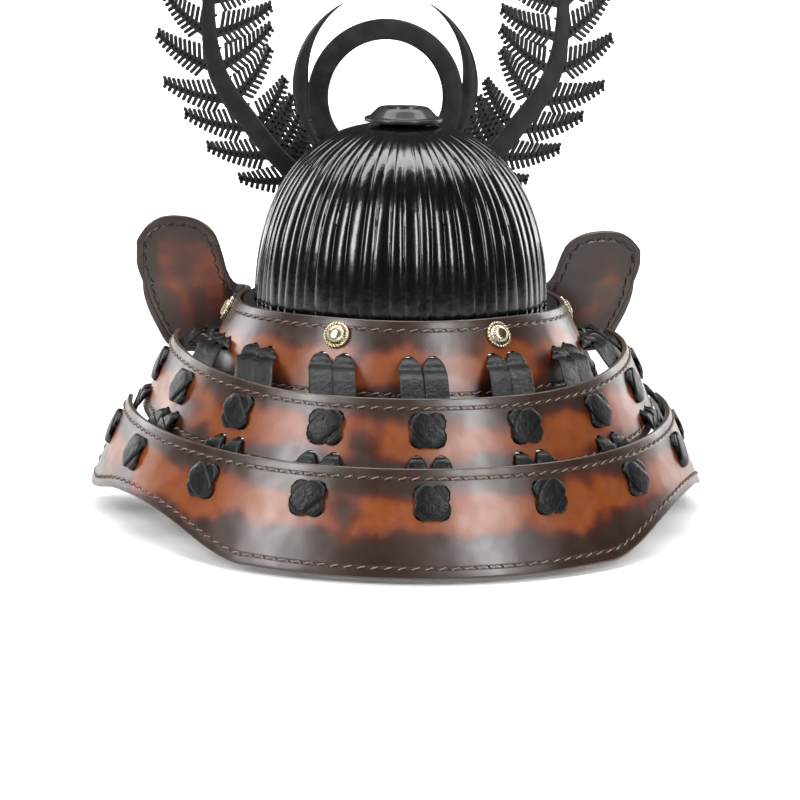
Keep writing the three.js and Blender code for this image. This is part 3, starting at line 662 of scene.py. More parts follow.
@dataclass
class Bowl:
    """The ribbed bowl with its open crown."""

    half_width: float = 59.4
    half_length: float = 65.4
    height: float = 79
    wall: float = 2.2
    valley: float = 0.9
    roundness: float = 2.5
    ribs: int = 62
    rib_depth: float = 1.35
    hole: float = 9.1
    rib_columns: int = 14
    rows: int = 56

    def profile(self, lift: Array) -> Array:
        """The bowl's radius at a share of its height, as a share of the rim's:
        the superellipse (1 - lift**n)**(1/n)."""
        return (1 - np.clip(lift, 0, 1) ** self.roundness) ** (1 / self.roundness)

    def outer(self, turn: Array, lift: Array) -> Array:
        """The outer face. Each ridge is an arch, sqrt(1 - x*x) across its width,
        and the ridges wander a little, as hand-laid ones do.

        Args:
            turn: radians round the bowl.
            lift: share of the bowl's height.

        Returns:
            The points of the face.
        """
        share = self.profile(lift)
        wander = 0.010 * np.sin(5 * turn + 1) + 0.007 * np.sin(13 * turn + 4 * lift)
        wander = wander + 0.006 * np.sin(29 * turn + 2.3 * np.sin(3 * lift))
        phase = (turn + wander) * self.ribs / (2 * np.pi)
        across = 2 * (phase - np.floor(phase)) - 1
        number = np.floor(phase) % self.ribs
        high = 0.78 + 0.22 * np.sin(number * 2.399) + 0.1 * np.sin(number * 5.1 + 6 * lift)
        arch = np.sqrt(1 - (0.985 * across) ** 2)
        sink = self.rib_depth * (1 - high * arch) * np.minimum(1, 1.8 * share)
        return np.stack([(self.half_width * share - sink) * np.sin(turn),
                         (self.half_length * share - sink) * np.cos(turn),
                         self.height * lift + 0 * turn], axis=-1)

    def build(self) -> None:
        """Makes the bowl: the closed line of its wall, carried round the crown."""
        turn = np.linspace(0, 2 * np.pi, self.ribs * self.rib_columns, endpoint=False)[:, None]
        edge = math.asin(math.sqrt(1 - (self.hole / self.half_width) ** self.roundness))
        rise = np.linspace(0, edge, self.rows)
        lift = np.sin(rise) ** (2 / self.roundness)
        outer = self.outer(turn, lift[None])
        inset = self.wall + self.valley
        low = lift[::-2]
        inner_share = self.profile(low)
        inner_width = np.maximum((self.half_width - inset) * inner_share, self.hole)
        inner_length = np.maximum((self.half_length - inset) * inner_share, self.hole)
        inner = np.stack([inner_width * np.sin(turn), inner_length * np.cos(turn),
                          (self.height - self.wall) * low + 0 * turn], axis=-1)
        grid = np.concatenate([outer, inner], axis=1)
        shell = Shell()
        shell.add(grid, tube_quads(*grid.shape[:2], ring=True))
        dress(shell.build("bowl_shell", 75), BOWL_FINISH, "bowl_lacquer", "bowl")


@dataclass
class Turning:
    """A piece turned round an upright axis from a smooth profile."""

    name: str
    profile: tuple[tuple[float, float], ...]
    sides: int = 96
    smooth: int = 4

    def grid(self) -> Array:
        """The profile, given as radius and height, carried round the axis.

        Returns:
            The grid of points, a row for each step round.
        """
        line = spline(np.array(self.profile), self.smooth * (len(self.profile) - 1) + 1)[:-1]
        turn = np.linspace(0, 2 * np.pi, self.sides, endpoint=False)[:, None]
        radius, height = line[:, 0], line[:, 1]
        return np.stack([radius * np.sin(turn), radius * np.cos(turn), height + 0 * turn], axis=-1)

    def build(self) -> Shell:
        """Makes the turned piece.

        Returns:
            Its shell.
        """
        grid = self.grid()
        shell = Shell()
        shell.add(grid, tube_quads(*grid.shape[:2], ring=True))
        return shell


@dataclass
class CrownRing(Turning):
    """The pierced finial on the crown: a thin flange, a domed ring on it and a
    short tube down through the bowl."""

    name: str = "crown_ring"
    profile: tuple[tuple[float, float], ...] = (
        (7.6, 74.5), (8.8, 74.5), (8.8, 79.2), (9.4, 79.4), (14.8, 79.4), (15.7, 79.8),
        (15.8, 80.8), (15.2, 81.3), (14.0, 81.5), (13.2, 82.2), (12.2, 83.2), (11.0, 84.4),
        (10.0, 85.2), (9.2, 85.3), (8.5, 84.7), (7.9, 82.9), (7.6, 79), (7.6, 74.5),
    )

    def finish(self) -> None:
        """Makes the finial and gives it its lacquer."""
        dress(self.build().build(self.name, 60), CROWN_FINISH, "bowl_lacquer", "finial")


def oval(turn: Array, outset: Array, height: Array, bowl: Bowl) -> Array:
    """Points on an oval round the bowl's rim.

    Args:
        turn: radians from the middle of the back.
        outset: distance outside the rim.
        height: the points' height.
        bowl: the bowl whose rim it follows.

    Returns:
        The points, sin(turn) along X and cos(turn) along Y.
    """
    flat = 0 * (turn + outset + height)
    return np.stack([(bowl.half_width + outset) * np.sin(turn) + flat,
                     (bowl.half_length + outset) * np.cos(turn) + flat, height + flat], axis=-1)


@dataclass
class RimBand:
    """The band round the rim with the ledge that the bowl stands on."""

    bowl: Bowl
    top: float = 7
    foot: float = -2.5
    ledge: float = -0.3
    outer_top: float = 4.63
    outer_foot: float = 9.38
    inner: float = -2.2
    bevel: float = 0.4

    def build(self) -> None:
        """Makes the band: its L-shaped section, carried round the rim."""
        turn = np.linspace(0, 2 * np.pi, 160, endpoint=False)[:, None]
        outset = np.array([[self.outer_top - self.bevel, self.outer_top, self.outer_foot,
                            self.outer_foot - self.bevel, self.inner, self.inner, 0, 0]])
        height = np.array([[self.top, self.top - self.bevel, self.foot + self.bevel, self.foot,
                            self.foot, self.ledge, self.ledge, self.top]])
        grid = oval(turn, outset, height, self.bowl)
        shell = Shell()
        shell.add(grid, tube_quads(*grid.shape[:2], ring=True))
        dress(shell.build("rim_band_ring", 30), BOWL_FINISH, "bowl_lacquer", "rim_band")


@dataclass
class Visor:
    """The small peak over the face, bent down and rounded at its edge."""

    bowl: Bowl
    start: float = 126
    top: float = 5
    foot: float = -2.2
    reach: float = 24
    end_share: float = 0.25
    drop: float = 0.5
    thickness: float = 2
    neck: float = 5.93
    root: float = 9.5

    def build(self) -> None:
        """Makes the visor: a bent section carried round the face side, whose
        reach grows from its ends to the middle as a squared cosine."""
        share = np.linspace(0, 1, 81)
        turn = np.radians(blend(self.start, 360 - self.start, share))[:, None]
        middle = np.cos(np.pi * (share - 0.5)) ** 2
        wide = (blend(self.end_share, 1, middle) * self.reach)[:, None]
        steps = np.linspace(0, 1, 12)[None] * wide
        neck = np.full_like(wide, self.neck)
        outset = np.concatenate([neck, self.root + steps], axis=1)
        height = np.concatenate([0 * wide + self.top, self.foot - self.drop * steps], axis=1)
        push, lift = np.zeros_like(outset), np.full_like(outset, self.thickness)
        push[:, :2] = self.thickness
        lift[:, 0] = 0
        lift[:, -1] *= 0.7
        under = oval(turn, outset, height, self.bowl)
        over = oval(turn, outset + push, height + lift, self.bowl)
        grid = np.concatenate([over, under[:, ::-1]], axis=1)
        shell = Shell()
        shell.add(grid, tube_quads(*grid.shape[:2]))
        dress(shell.build("visor_peak", 50), BOWL_FINISH, "bowl_lacquer", "visor")


# The neck guard

class Level(Enum):
    """The three lames of the neck guard, from the bowl down."""

    TOP = "top"
    MIDDLE = "middle"
    BOTTOM = "bottom"


@dataclass
class Lame:
    """One leather lame: a sloping oval wall round the back of the helmet.

    The wall at a height z stands outside the oval of its top edge by flare times
    the depth below that edge. A place on the flat hide is given by its length
    from the middle of the back and its height.
    """

    level: Level
    half_width: float
    half_length: float
    back: float
    rise: float
    height: float
    flare: float
    reach: float
    corner: float
    lace_angles: tuple[float, ...]
    laces_down: float = 0
    laces_up: float = 0
    dark_above: float = 8.5
    dark_below: float = 25
    edge_radius: float = 0.75
    step: float = 1.5

    @property
    def end(self) -> float:
        """Length from the middle of the back to the end of the oval part."""
        return math.radians(self.reach) * self.half_width

    @property
    def tip(self) -> float:
        """Length from the middle of the back to the end of the hide."""
        return self.end

    def rounding(self, length: Array) -> Array:
        """How far the front corners are rounded off, as a quarter circle."""
        inside = np.clip(1 - (self.tip - np.abs(length)) / max(self.corner, 0.01), 0, 1)
        return self.corner * (1 - np.sqrt(1 - inside * inside))

    def lift(self, length: Array) -> Array:
        """How far the edges rise towards the front, an even rise from 25 degrees
        to 90 degrees."""
        angle = np.degrees(np.abs(length) / self.half_width)
        return self.rise * smoothstep(angle, 25, 90)

    def top(self, length: Array) -> Array:
        """The height of the top edge."""
        return self.back + self.lift(length) - self.rounding(length)

    def foot(self, length: Array) -> Array:
        """The height of the lower edge."""
        return self.back - self.height + self.lift(length) + self.rounding(length)

    def burn(self, length: Array, height: Array) -> Array:
        """Distance from the border of the burnished zone into the open face: the
        zone lies along the top edge, the ends and the lower part of the lame.

        Args:
            length: length along the hide from the middle of the back.
            height: the height.

        Returns:
            The distance, less than 0 inside the zone.
        """
        down = self.top(length) - height
        to_end = self.tip - np.abs(length) - self.dark_above
        return np.minimum(np.minimum(down - self.dark_above, self.dark_below - down), to_end)

    def frame_at(self, length: Array, height: Array) -> tuple[Array, Array, Array, Array]:
        """Where the wall stands.

        Args:
            length: length along the hide from the middle of the back.
            height: the height.

        Returns:
            The outer face's points, the directions along the wall, level out of
            it and square out of it.
        """
        length, height = np.broadcast_arrays(length, height)
        angle = np.clip(length, -self.end, self.end) / self.half_width
        out = self.flare * (self.back - height)
        wide, deep = self.half_width + out, self.half_length + out
        point = np.stack([wide * np.sin(angle), deep * np.cos(angle), height], axis=-1)
        along = unit(np.stack([wide * np.cos(angle), -deep * np.sin(angle), 0 * angle], axis=-1))
        level = np.stack([-along[..., 1], along[..., 0], 0 * angle], axis=-1)
        tilt = np.broadcast_to([0, 0, self.flare], level.shape)
        return point, along, level, unit(level + tilt)

    def place(self, length: Array, height: Array, depth: Array) -> Array:
        """The point at a length, height and depth in the hide."""
        point, _, _, normal = self.frame_at(length, height)
        return point - normal * np.asarray(depth)[..., None]

    def stations(self) -> tuple[Array, Array]:
        """The lengths that the hide has sections at.

        Returns:
            The lengths, and for each the share that is left of the hide's
            thickness, less than 1 where the end is rounded.
        """
        count = int(self.tip / self.step)
        even = np.linspace(0, self.tip - self.corner - 1, count)
        turned = self.tip - (self.corner + 1) * (1 - np.sin(np.linspace(0, np.pi / 2, 9)[1:-1]))
        angle = np.radians([20, 45, 70, 90])
        ends = self.tip - self.edge_radius * (1 - np.sin(angle))
        left = 1 - self.edge_radius * (1 - np.cos(angle)) / (LEATHER / 2)
        turned = turned[turned < ends[0] - 0.05]
        half = np.concatenate([even, turned, ends])
        share = np.concatenate([np.ones(len(even) + len(turned)), left])
        return np.concatenate([-half[:0:-1], half]), np.concatenate([share[:0:-1], share])

    def section(self) -> tuple[Array, Array, Array, Array]:
        """The hide's section from the top edge down its outer face to the foot.

        Returns:
            For each point its share of the way down, its distance from the top
            edge's and the foot's corner and its depth in the hide.
        """
        angle = np.radians([90, 65, 40, 15])
        rows = int(self.height / self.step)
        inset = self.edge_radius * (1 - np.sin(angle))
        depth = self.edge_radius * (1 - np.cos(angle))
        share = np.concatenate([0 * angle, np.linspace(0, 1, rows), 0 * angle + 1])
        down = np.concatenate([inset, np.full(rows, self.edge_radius), np.full(4, self.edge_radius)])
        up = np.concatenate([np.full(4, self.edge_radius), np.full(rows, self.edge_radius), inset[::-1]])
        return share, down, up, np.concatenate([depth, np.zeros(rows), depth[::-1]])

    def hide(self) -> Shell:
        """The lame's hide: its section carried along, with rounded edges.

        Returns:
            Its shell, with the lie and the rim of each point.
        """
        length, left = self.stations()
        share, down, up, depth = self.section()
        top, foot = self.top(length)[:, None], self.foot(length)[:, None]
        tall = top - foot
        fit = np.minimum(1, 0.45 * tall / self.edge_radius)
        height = blend(top - down * fit, foot + up * fit, share)
        rim = np.minimum(np.minimum(top - height, height - foot), (self.tip - np.abs(length))[:, None])
        sides = []
        for face in (depth, LEATHER - depth):
            within = LEATHER / 2 + (face - LEATHER / 2) * left[:, None]
            points = self.place(length[:, None], height, within)
            burn = self.burn(length[:, None], height)
            lie = np.stack([length[:, None] + 0 * height, burn, rim, face + 0 * height], axis=-1)
            sides.append(np.concatenate([points, lie], axis=-1))
        grid = np.concatenate([sides[0], sides[1][:, ::-1]], axis=1)
        shell = Shell()
        shell.add(grid[..., :3], tube_quads(*grid.shape[:2]), grid[..., 3:])
        return shell

    def lace_places(self, below: float) -> tuple[Array, Array]:
        """Where the laces' middles lie, from the column farthest towards -X.

        Args:
            below: their distance below the top edge.

        Returns:
            Their lengths along the hide and their heights.
        """
        angles = np.array(self.lace_angles)
        length = np.radians(np.concatenate([-angles[:0:-1], angles])) * self.half_width
        return length, self.top(length) - below

    def seam(self, inset: float) -> Array:
        """The line of the stitches, all round the hide at an even distance from
        its edge: the outline is shifted square to itself, and what comes too near
        to another part of it is left out.

        Args:
            inset: the distance from the edge.

        Returns:
            The line's lengths and heights on the flat hide, closed on itself.
        """
        along = np.linspace(-self.tip, self.tip, 1200)
        upper = np.stack([along, self.top(along)], axis=1)
        lower = np.stack([along, self.foot(along)], axis=1)[::-1]
        ends = [np.linspace(side[-1], other[0], 12)[1:-1]
                for side, other in ((upper, lower), (lower, upper))]
        outline = np.vstack([upper, ends[0], lower, ends[1]])
        tangent = unit(np.roll(outline, -2, axis=0) - np.roll(outline, 2, axis=0))
        line = outline + inset * np.stack([tangent[:, 1], -tangent[:, 0]], axis=1)
        gap = np.linalg.norm(line[:, None] - outline[None, ::2], axis=2).min(axis=1)
        line = line[gap > 0.97 * inset]
        return np.vstack([line, line[:1]])


@dataclass
class BottomLame(Lame):
    """The bottom lame, whose lower edge is cut up over the shoulders."""

    shoulder_cut: float = 16.5
    # degrees from the back, and the share of shoulder_cut that is cut away there
    shoulder: tuple[tuple[float, float], ...] = (
        (0, 0.04), (15, 0.05), (30, 0.08), (35, 0.1), (40, 0.26), (45, 0.47), (50, 0.66),
        (56, 0.81), (64, 0.9), (74, 0.82), (86, 0.5), (98, 0.36),
    )

    def foot(self, length: Array) -> Array:
        """The height of the lower edge, along a smooth line through the table.

        Args:
            length: length along the hide from the middle of the back.

        Returns:
            The height.
        """
        table = np.array(self.shoulder)
        line = spline(table, 400)
        angle = np.degrees(np.abs(length) / self.half_width)
        cut = np.interp(angle, line[:, 0], line[:, 1])
        return self.back - self.height + self.rounding(length) + self.shoulder_cut * cut


@dataclass
class TopLame(Lame):
    """The top lame, whose ends are folded out into ears."""

    fold_radius: float = 5
    fold_turn: float = math.radians(103)
    ear_reach: float = 42
    ear_rise: float = 25
    ear_tip: float = 0.5
    ear_margin: float = 8.5
    ear_open: float = 1.2
    ear_lean: float = 3.0
    # share of ear_reach, and the top and the foot edge as in the solids
    ear: tuple[tuple[float, float, float], ...] = (
        (0, 0.0, 0), (0.04, 0.04, 0), (0.1, 0.2, 0), (0.16, 0.52, 0), (0.24, 0.78, 0.01),
        (0.4, 0.95, 0.08), (0.6, 1.0, 0.27), (0.76, 0.97, 0.44), (0.88, 0.86, 0.6),
        (0.96, 0.71, 0.76), (1.0, 0.60, 0.89),
    )

    @property
    def fold(self) -> float:
        """Length of hide that goes round the fold."""
        return self.fold_radius * self.fold_turn

    @property
    def tip(self) -> float:
        """Length from the middle of the back to the ear's outer end."""
        return self.end + self.fold + self.ear_reach

    def ear_line(self, length: Array, column: int) -> Array:
        """One column of the ear's table as a smooth line, read at a length.

        Args:
            length: length along the hide from the middle of the back.
            column: 1 for the top edge, 2 for the foot edge.

        Returns:
            The share that the table has there.
        """
        line = spline(np.array(self.ear), 400)
        along = np.clip((np.abs(length) - self.end - self.fold) / self.ear_reach, 0, 1)
        return np.interp(along, line[:, 0], line[:, column])

    def top(self, length: Array) -> Array:
        """The height of the top edge, up over the ear, which stands ear_lean
        higher on the +X side than the rise and as much lower on the other.

        Args:
            length: length along the hide from the middle of the back.

        Returns:
            The height.
        """
        oval_part = np.clip(np.abs(length), 0, self.end)
        rise = self.ear_rise + self.ear_lean * np.sign(length)
        return self.back + self.lift(oval_part) + rise * self.ear_line(length, 1)

    def foot(self, length: Array) -> Array:
        """The height of the lower edge, up to the ear's tip.

        Args:
            length: length along the hide from the middle of the back.

        Returns:
            The height.
        """
        low = self.back - self.height + self.lift(np.clip(np.abs(length), 0, self.end))
        tip = self.back + self.rise + self.ear_tip * self.ear_rise
        return low + (tip - low) * self.ear_line(length, 2)

    def burn(self, length: Array, height: Array) -> Array:
        """Distance into the open face, which on the ears lies an even way inside
        their whole edge.

        Args:
            length: length along the hide from the middle of the back.
            height: the height.

        Returns:
            The distance, less than 0 inside the burnished zone.
        """
        down, up = self.top(length) - height, height - self.foot(length)
        inside = np.minimum(np.minimum(down, up), self.tip - np.abs(length)) - self.ear_margin
        inside = np.minimum(inside, self.ear_open)
        on_ear = smoothstep(np.abs(length), self.end - 4, self.end + self.fold)
        return blend(super().burn(length, height), inside, on_ear)

    def place(self, length: Array, height: Array, depth: Array) -> Array:
        """The point at a place in the hide, round the arc of the fold and then
        straight out along the ear.

        Args:
            length: length along the hide from the middle of the back.
            height: the height.
            depth: the depth below the outer face.

        Returns:
            The point.
        """
        length, height = np.broadcast_arrays(length, height)
        past = np.maximum(np.abs(length) - self.end, 0)
        side = np.sign(length + 1e-9)[..., None]
        turn = np.minimum(past / self.fold_radius, self.fold_turn)[..., None]
        out = np.maximum(past - self.fold, 0)[..., None]
        limit = self.back + self.lift(np.full_like(length, self.end))
        held = np.where(past > 0, np.minimum(height, limit), height)
        point, along, level, normal = self.frame_at(length, held)
        point = point.copy()
        point[..., 2] = height
        ahead = along * side
        bent = point + self.fold_radius * (level * (1 - np.cos(turn)) + ahead * np.sin(turn))
        bent = bent + out * (ahead * np.cos(turn) + level * np.sin(turn))
        slope = self.flare * (1 - turn / self.fold_turn)
        face = unit(level * np.cos(turn) - ahead * np.sin(turn) + slope * np.array([0, 0, 1.0]))
        face = np.where(past[..., None] > 0, face, normal)
        return bent - face * np.asarray(depth)[..., None]

    def stations(self) -> tuple[Array, Array]:
        """The lengths that the hide has sections at, closer along the ears.

        Returns:
            The lengths, and for each the share that is left of the hide's
            thickness, less than 1 where the end is rounded.
        """
        angle = np.radians([20, 45, 70, 90])
        ends = self.tip - self.edge_radius * (1 - np.sin(angle))
        left = 1 - self.edge_radius * (1 - np.cos(angle)) / (LEATHER / 2)
        flat = np.linspace(0, self.end, int(self.end / self.step), endpoint=False)
        bend = self.end + np.linspace(0, self.fold, 12, endpoint=False)
        ear = self.end + self.fold + self.ear_reach * np.sin(np.linspace(0, np.pi / 2, 46))
        ear = ear[ear < ends[0] - 0.03]
        half = np.concatenate([flat, bend, ear, ends])
        share = np.concatenate([np.ones(len(flat) + len(bend) + len(ear)), left])
        return np.concatenate([-half[:0:-1], half]), np.concatenate([share[:0:-1], share])


@dataclass
class Stitching:
    """Saddle stitches along a lame's seam: short slanting threads that dip into
    pricked slits at both ends. The slits are near-black strips sunk in the hide:
    painted shade of the awl cuts."""

    pitch: float = 5.0
    length: float = 3.2
    radius: float = 0.29
    inset: float = 3.6
    slant: float = math.radians(17)
    lift: float = 0.27
    dip: float = 0.7
    slit_length: float = 2.5
    slit_width: float = 1.0
    slit_depth: float = 0.3
    prick_slant: float = math.radians(-42)

    def lay(self, lame: Lame, line: Array, slant: float, width: Value,
            start: float) -> tuple[Array, Array]:
        """Lays copies of a small shape along a lame's seam.

        Args:
            lame: the lame that is stitched.
            line: the shape's middle line: forward, sideways and out of the hide.
            slant: its angle to the seam.
            width: its width, one number or one for each point.
            start: share of the pitch by which it is moved along.

        Returns:
            The grids of all copies and each one's length along the hide.
        """
        seam = lame.seam(self.inset)
        space = lame.place(seam[:, 0], seam[:, 1], np.zeros(len(seam)))
        middle, position = even_steps(space, self.pitch)
        numbers = np.arange(len(seam))
        position = (position + start * np.gradient(position)) % (len(seam) - 1)
        length = np.interp(position, numbers, seam[:, 0])
        height = np.interp(position, numbers, seam[:, 1])
        surface = lame.place(length, height, np.zeros(len(length)))
        normal = unit(surface - lame.place(length, height, np.ones(len(length))))
        before, after = (np.stack([np.interp(position + k, numbers, axis, period=len(seam) - 1)
                                   for axis in space.T], axis=1) for k in (-1, 1))
        forward = unit(after - before)
        forward = unit(forward - (forward * normal).sum(1, keepdims=True) * normal)
        turned = forward * math.cos(slant) + np.cross(normal, forward) * math.sin(slant)
        shape = ribbon(line, np.array([0, 1.0, 0]), width, width, 6, 2)
        basis = np.stack([turned, np.cross(normal, turned), normal], axis=1)
        return np.einsum("rck,nkj->nrcj", shape, basis) + surface[:, None, None], length

    def build(self, lame: Lame) -> None:
        """Makes the stitching of one lame, darker on the ears. A thread dips at
        its ends by the fourth power of the way, and a slit narrows by the square.
        The slits' near-black colour is painted shade inside the awl cuts.

        Args:
            lame: the lame that is stitched.
        """
        share = np.linspace(-1, 1, 7)
        thread = np.stack([share * self.length / 2, 0 * share, self.lift - self.dip * share ** 4], axis=1)
        slit = np.stack([share * self.slit_length / 2, 0 * share, 0 * share - self.slit_depth], axis=1)
        slit_width = self.slit_width * (1 - 0.5 * share ** 2)
        threads, length = self.lay(lame, thread, self.slant, 2 * self.radius, 0)
        # the slits are dark strips that paint the shade inside the awl cuts
        slits, _ = self.lay(lame, slit, self.prick_slant, slit_width, 0.5)
        name = lame.level.value
        on_ear = np.abs(length) > lame.end + 1
        for title, grids, finish in (("stitching_" + name, threads[~on_ear], THREAD_FINISH),
                                     ("ear_stitching", threads[on_ear], EAR_THREAD_FINISH),
                                     ("pricked_slit_shade_" + name, slits, SLIT_SHADE_FINISH)):
            if len(grids):
                shell = Shell()
                shell.add_copies(grids, tube_quads(*grids.shape[1:3]))
                dress(shell.build(title), finish, "burnished_leather")


@dataclass
class Lacing:
    """The laces between two lames. Each is a pair of flat thongs: out of two
    round holes, down behind the lower lame, out of two holes there and crossed
    over to the two holes below, as a knot."""

    width: float = 9.0
    pinch: float = 5.0
    thickness: float = 1.1
    bunch: float = 4.2
    spread: float = 4.7
    knot_spread: float = 4.1
    knot_drop: float = 5.2
    hole: float = 2.6
    slack: float = 1.1
    samples: int = 104

    def frames(self, lame: Lame, below: float, column: int, shift: Value = 0,
               lower: Value = 0) -> tuple[Array, Array, Array, Array]:
        """A place beside a lace's middle on a lame.

        Args:
            lame: the lame.
            below: distance of the lace's middle below the top edge.
            column: number of the lace, from the column farthest towards -X.
            shift: distance along the lame from the middle.
            lower: distance down the lame.

        Returns:
            The point on the outer face and the directions along, down and out.
        """
        length, height = (values[column] for values in lame.lace_places(below))
        point, along, _, normal = lame.frame_at(np.array([length]), np.array([height]))
        down = np.cross(normal, along)
        place = point + along * shift + down * lower
        slip = (shift / lame.half_width) ** 2 * lame.half_width / 2
        return (place - normal * slip)[0], along[0], down[0], normal[0]

    def holes(self, lame: Lame) -> Shell:
        """The round holes of one lame, as drills.

        Args:
            lame: the lame that is pierced.

        Returns:
            The drills' shell.
        """
        shell = Shell()
        places = []
        for column in range(2 * len(lame.lace_angles) - 1):
            if lame.laces_down:
                places += [(lame.laces_down, column, s * self.spread, 0) for s in (-1, 1)]
            if lame.laces_up:
                spread, drop = self.knot_spread, self.knot_drop
                places += [(lame.laces_up, column, s * spread, drop + t * spread)
                           for s in (-1, 1) for t in (-1, 1)]
        frames = [self.frames(lame, *place) for place in places]
        angle = (np.arange(20) + 0.5) * 2 * np.pi / 20
        depth = np.linspace(-6, 6, 4)
        for point, along, down, normal in frames:
            circle = self.hole * (np.cos(angle)[:, None] * along + np.sin(angle)[:, None] * down)
            grid = point + circle[None] + depth[:, None, None] * normal
            wall = np.broadcast_to([0, 0, 0, LEATHER / 2], (*grid.shape[:2], 4))
            shell.add(grid, tube_quads(*grid.shape[:2]), wall)
        return shell

    def thong(self, upper: Lame, lower: Lame, column: int, side: int, over: bool) -> Array:
        """One thong's surface: a ribbon along a smooth line through its holes,
        where it is gathered to a thick bundle.

        Args:
            upper: the lame that it comes out of.
            lower: the lame that it is knotted on.
            column: the lace's number.
            side: -1 or 1, the thong's side of the pair.
            over: whether it lies on top in the knot.

        Returns:
            The ribbon's grid of points.
        """
        flat, back = self.thickness, LEATHER + self.slack
        start, along, down, out = self.frames(upper, upper.laces_down, column, side * self.spread)
        (enter, low_along, low_down, low_out), (leave, *_) = (
            self.frames(lower, lower.laces_up, column, s * self.knot_spread,
                        self.knot_drop + t * self.knot_spread) for s, t in ((side, -1), (-side, 1)))
        arrive, *_ = self.frames(lower, lower.laces_up, column, side * self.spread, -4.6)
        arrive = arrive - low_out * (back + 0.7)
        first = start + out * 1.8
        way, both = unit(arrive - first), unit(along + low_along)
        arch = np.array([0, 0, 0.08 * np.linalg.norm(arrive - first)])
        diagonal = unit(leave - enter)
        cross = np.cross(low_out, diagonal)
        cross = cross * np.sign((cross * low_along).sum())
        centre = (enter + leave) / 2 + cross * (0.5 if over else -0.2)
        top = low_out * (1.95 if over else 1.25)
        rows = [
            (start - out * back + down * 5, along, 7.0, flat),
            (start - out * back + down * 1.6, along, self.pinch + 0.4, 1.8),
            (start - out * 1.2 + down * 0.1, along, self.pinch, self.bunch),
            (start + out * 0.9 + way * 0.4, along, self.pinch + 0.9, 2.8),
            (first + way * 2.3, along, self.width - 1.4, 1.9),
            (first + way * 5.5 + out * 0.2, unit(2 * along + low_along), self.width, flat),
            (blend(first, arrive, 0.5) + arch + out * 0.3, both, self.width, flat),
            (arrive, low_along, self.width, flat),
            (enter - low_out * back - low_down * 1.8, low_along, self.pinch + 1, 1.6),
            (enter - low_out * 1.0 - diagonal * 0.2, unit(low_along + cross), self.pinch, self.bunch),
            (enter + low_out * 0.7 - diagonal * 0.9, cross, self.pinch + 0.2, 2.0),
            (enter + top * 0.85 + diagonal * 0.9, cross, self.width - 0.8, 1.4),
            (centre + top, cross, self.width + 0.4, flat + 0.3),
            (leave + top * 0.85 - diagonal * 0.9, cross, self.width - 0.8, 1.4),
            (leave + low_out * 0.7 + diagonal * 0.9, cross, self.pinch + 0.2, 2.0),
            (leave - low_out * 1.0 + diagonal * 0.2, cross, self.pinch, self.bunch),
            (leave - low_out * back + low_down * 1.0, cross, self.pinch + 0.5, 1.8),
            (leave - low_out * (back + 0.2) + low_down * 5, unit(low_along + cross), 6.5, flat),
        ]
        path, across = (spline(np.array([row[k] for row in rows]), self.samples) for k in (0, 1))
        size = spline(np.array([row[2:] for row in rows]), self.samples)
        return ribbon(path, across, size[:, 0], size[:, 1], 16, 4)

    def build(self, upper: Lame, lower: Lame, row: str) -> None:
        """Makes all laces of one row.

        Args:
            upper: the lame that they come out of.
            lower: the lame that they are knotted on.
            row: the row's name.
        """
        for column in range(2 * len(upper.lace_angles) - 1):
            shell = Shell()
            for side in (-1, 1):
                grid = self.thong(upper, lower, column, side, (side > 0) == (column % 2 == 0))
                shell.add(grid, tube_quads(*grid.shape[:2]))
            node = f"lace_{row}_{column + 1}"
            dress(shell.build(f"thongs_{row}_{column + 1}"), LACE_FINISH, "lace_leather", node)


@dataclass
class Studs:
    """The brass studs of the top lame: a dome in a rim of beads."""

    angles: tuple[float, ...] = (-98, -27, 27, 98)
    below_edge: float = 6.6
    beads: int = 24
    bead_ring: float = 5.0
    # radius and height, from the shank over the beaded rim and up the dome
    profile: tuple[tuple[float, float], ...] = (
        (1.4, -5), (1.4, 0.3), (4.9, 0.3), (5.2, 0.6), (5.3, 1.0), (5.0, 1.5), (4.4, 1.55),
        (4.1, 1.35), (3.9, 1.6), (3.3, 2.35), (2.3, 2.9), (1.1, 3.15), (0.15, 3.2),
    )

    def cap(self) -> Array:
        """One stud standing along Z: the profile carried round, with its rim
        swelling by the sine of the bead's turn and the dome fluted by a cosine.

        Returns:
            The grid of points.
        """
        profile = spline(np.array(self.profile), 49)
        turn = (np.arange(self.beads * 6) + 0.5) * 2 * np.pi / (self.beads * 6)
        swell = np.abs(np.sin(self.beads * turn / 2))[None]
        radius, height = profile[:, :1], profile[:, 1:]
        rim = np.exp(-((radius - self.bead_ring) / 0.45) ** 2) * (height > 0.4)
        radius = radius + rim * 0.35 * (swell - 0.6)
        height = height + rim * 0.35 * (swell - 0.6) * (height > 0.9)
        flute = 0.12 * np.cos(self.beads * turn)[None] * np.exp(-((radius - 3.1) / 0.8) ** 2)
        return np.stack([radius * np.cos(turn), radius * np.sin(turn), height + flute], axis=-1)

    def build(self, lame: Lame) -> None:
        """Makes the studs.

        Args:
            lame: the lame that they are set in.
        """
        cap = self.cap()
        for number, degrees in enumerate(self.angles, 1):
            length = np.array([math.radians(degrees) * lame.half_width])
            height = lame.top(length) - self.below_edge
            point, along, _, normal = (value[0] for value in lame.frame_at(length, height))
            basis = np.stack([along, np.cross(normal, along), normal])
            shell = Shell()
            shell.add(cap @ basis + point, tube_quads(*cap.shape[:2]))
            dress(shell.build(f"stud_cap_{number}", 50), BRASS_FINISH, "stud_brass", f"stud_{number}")


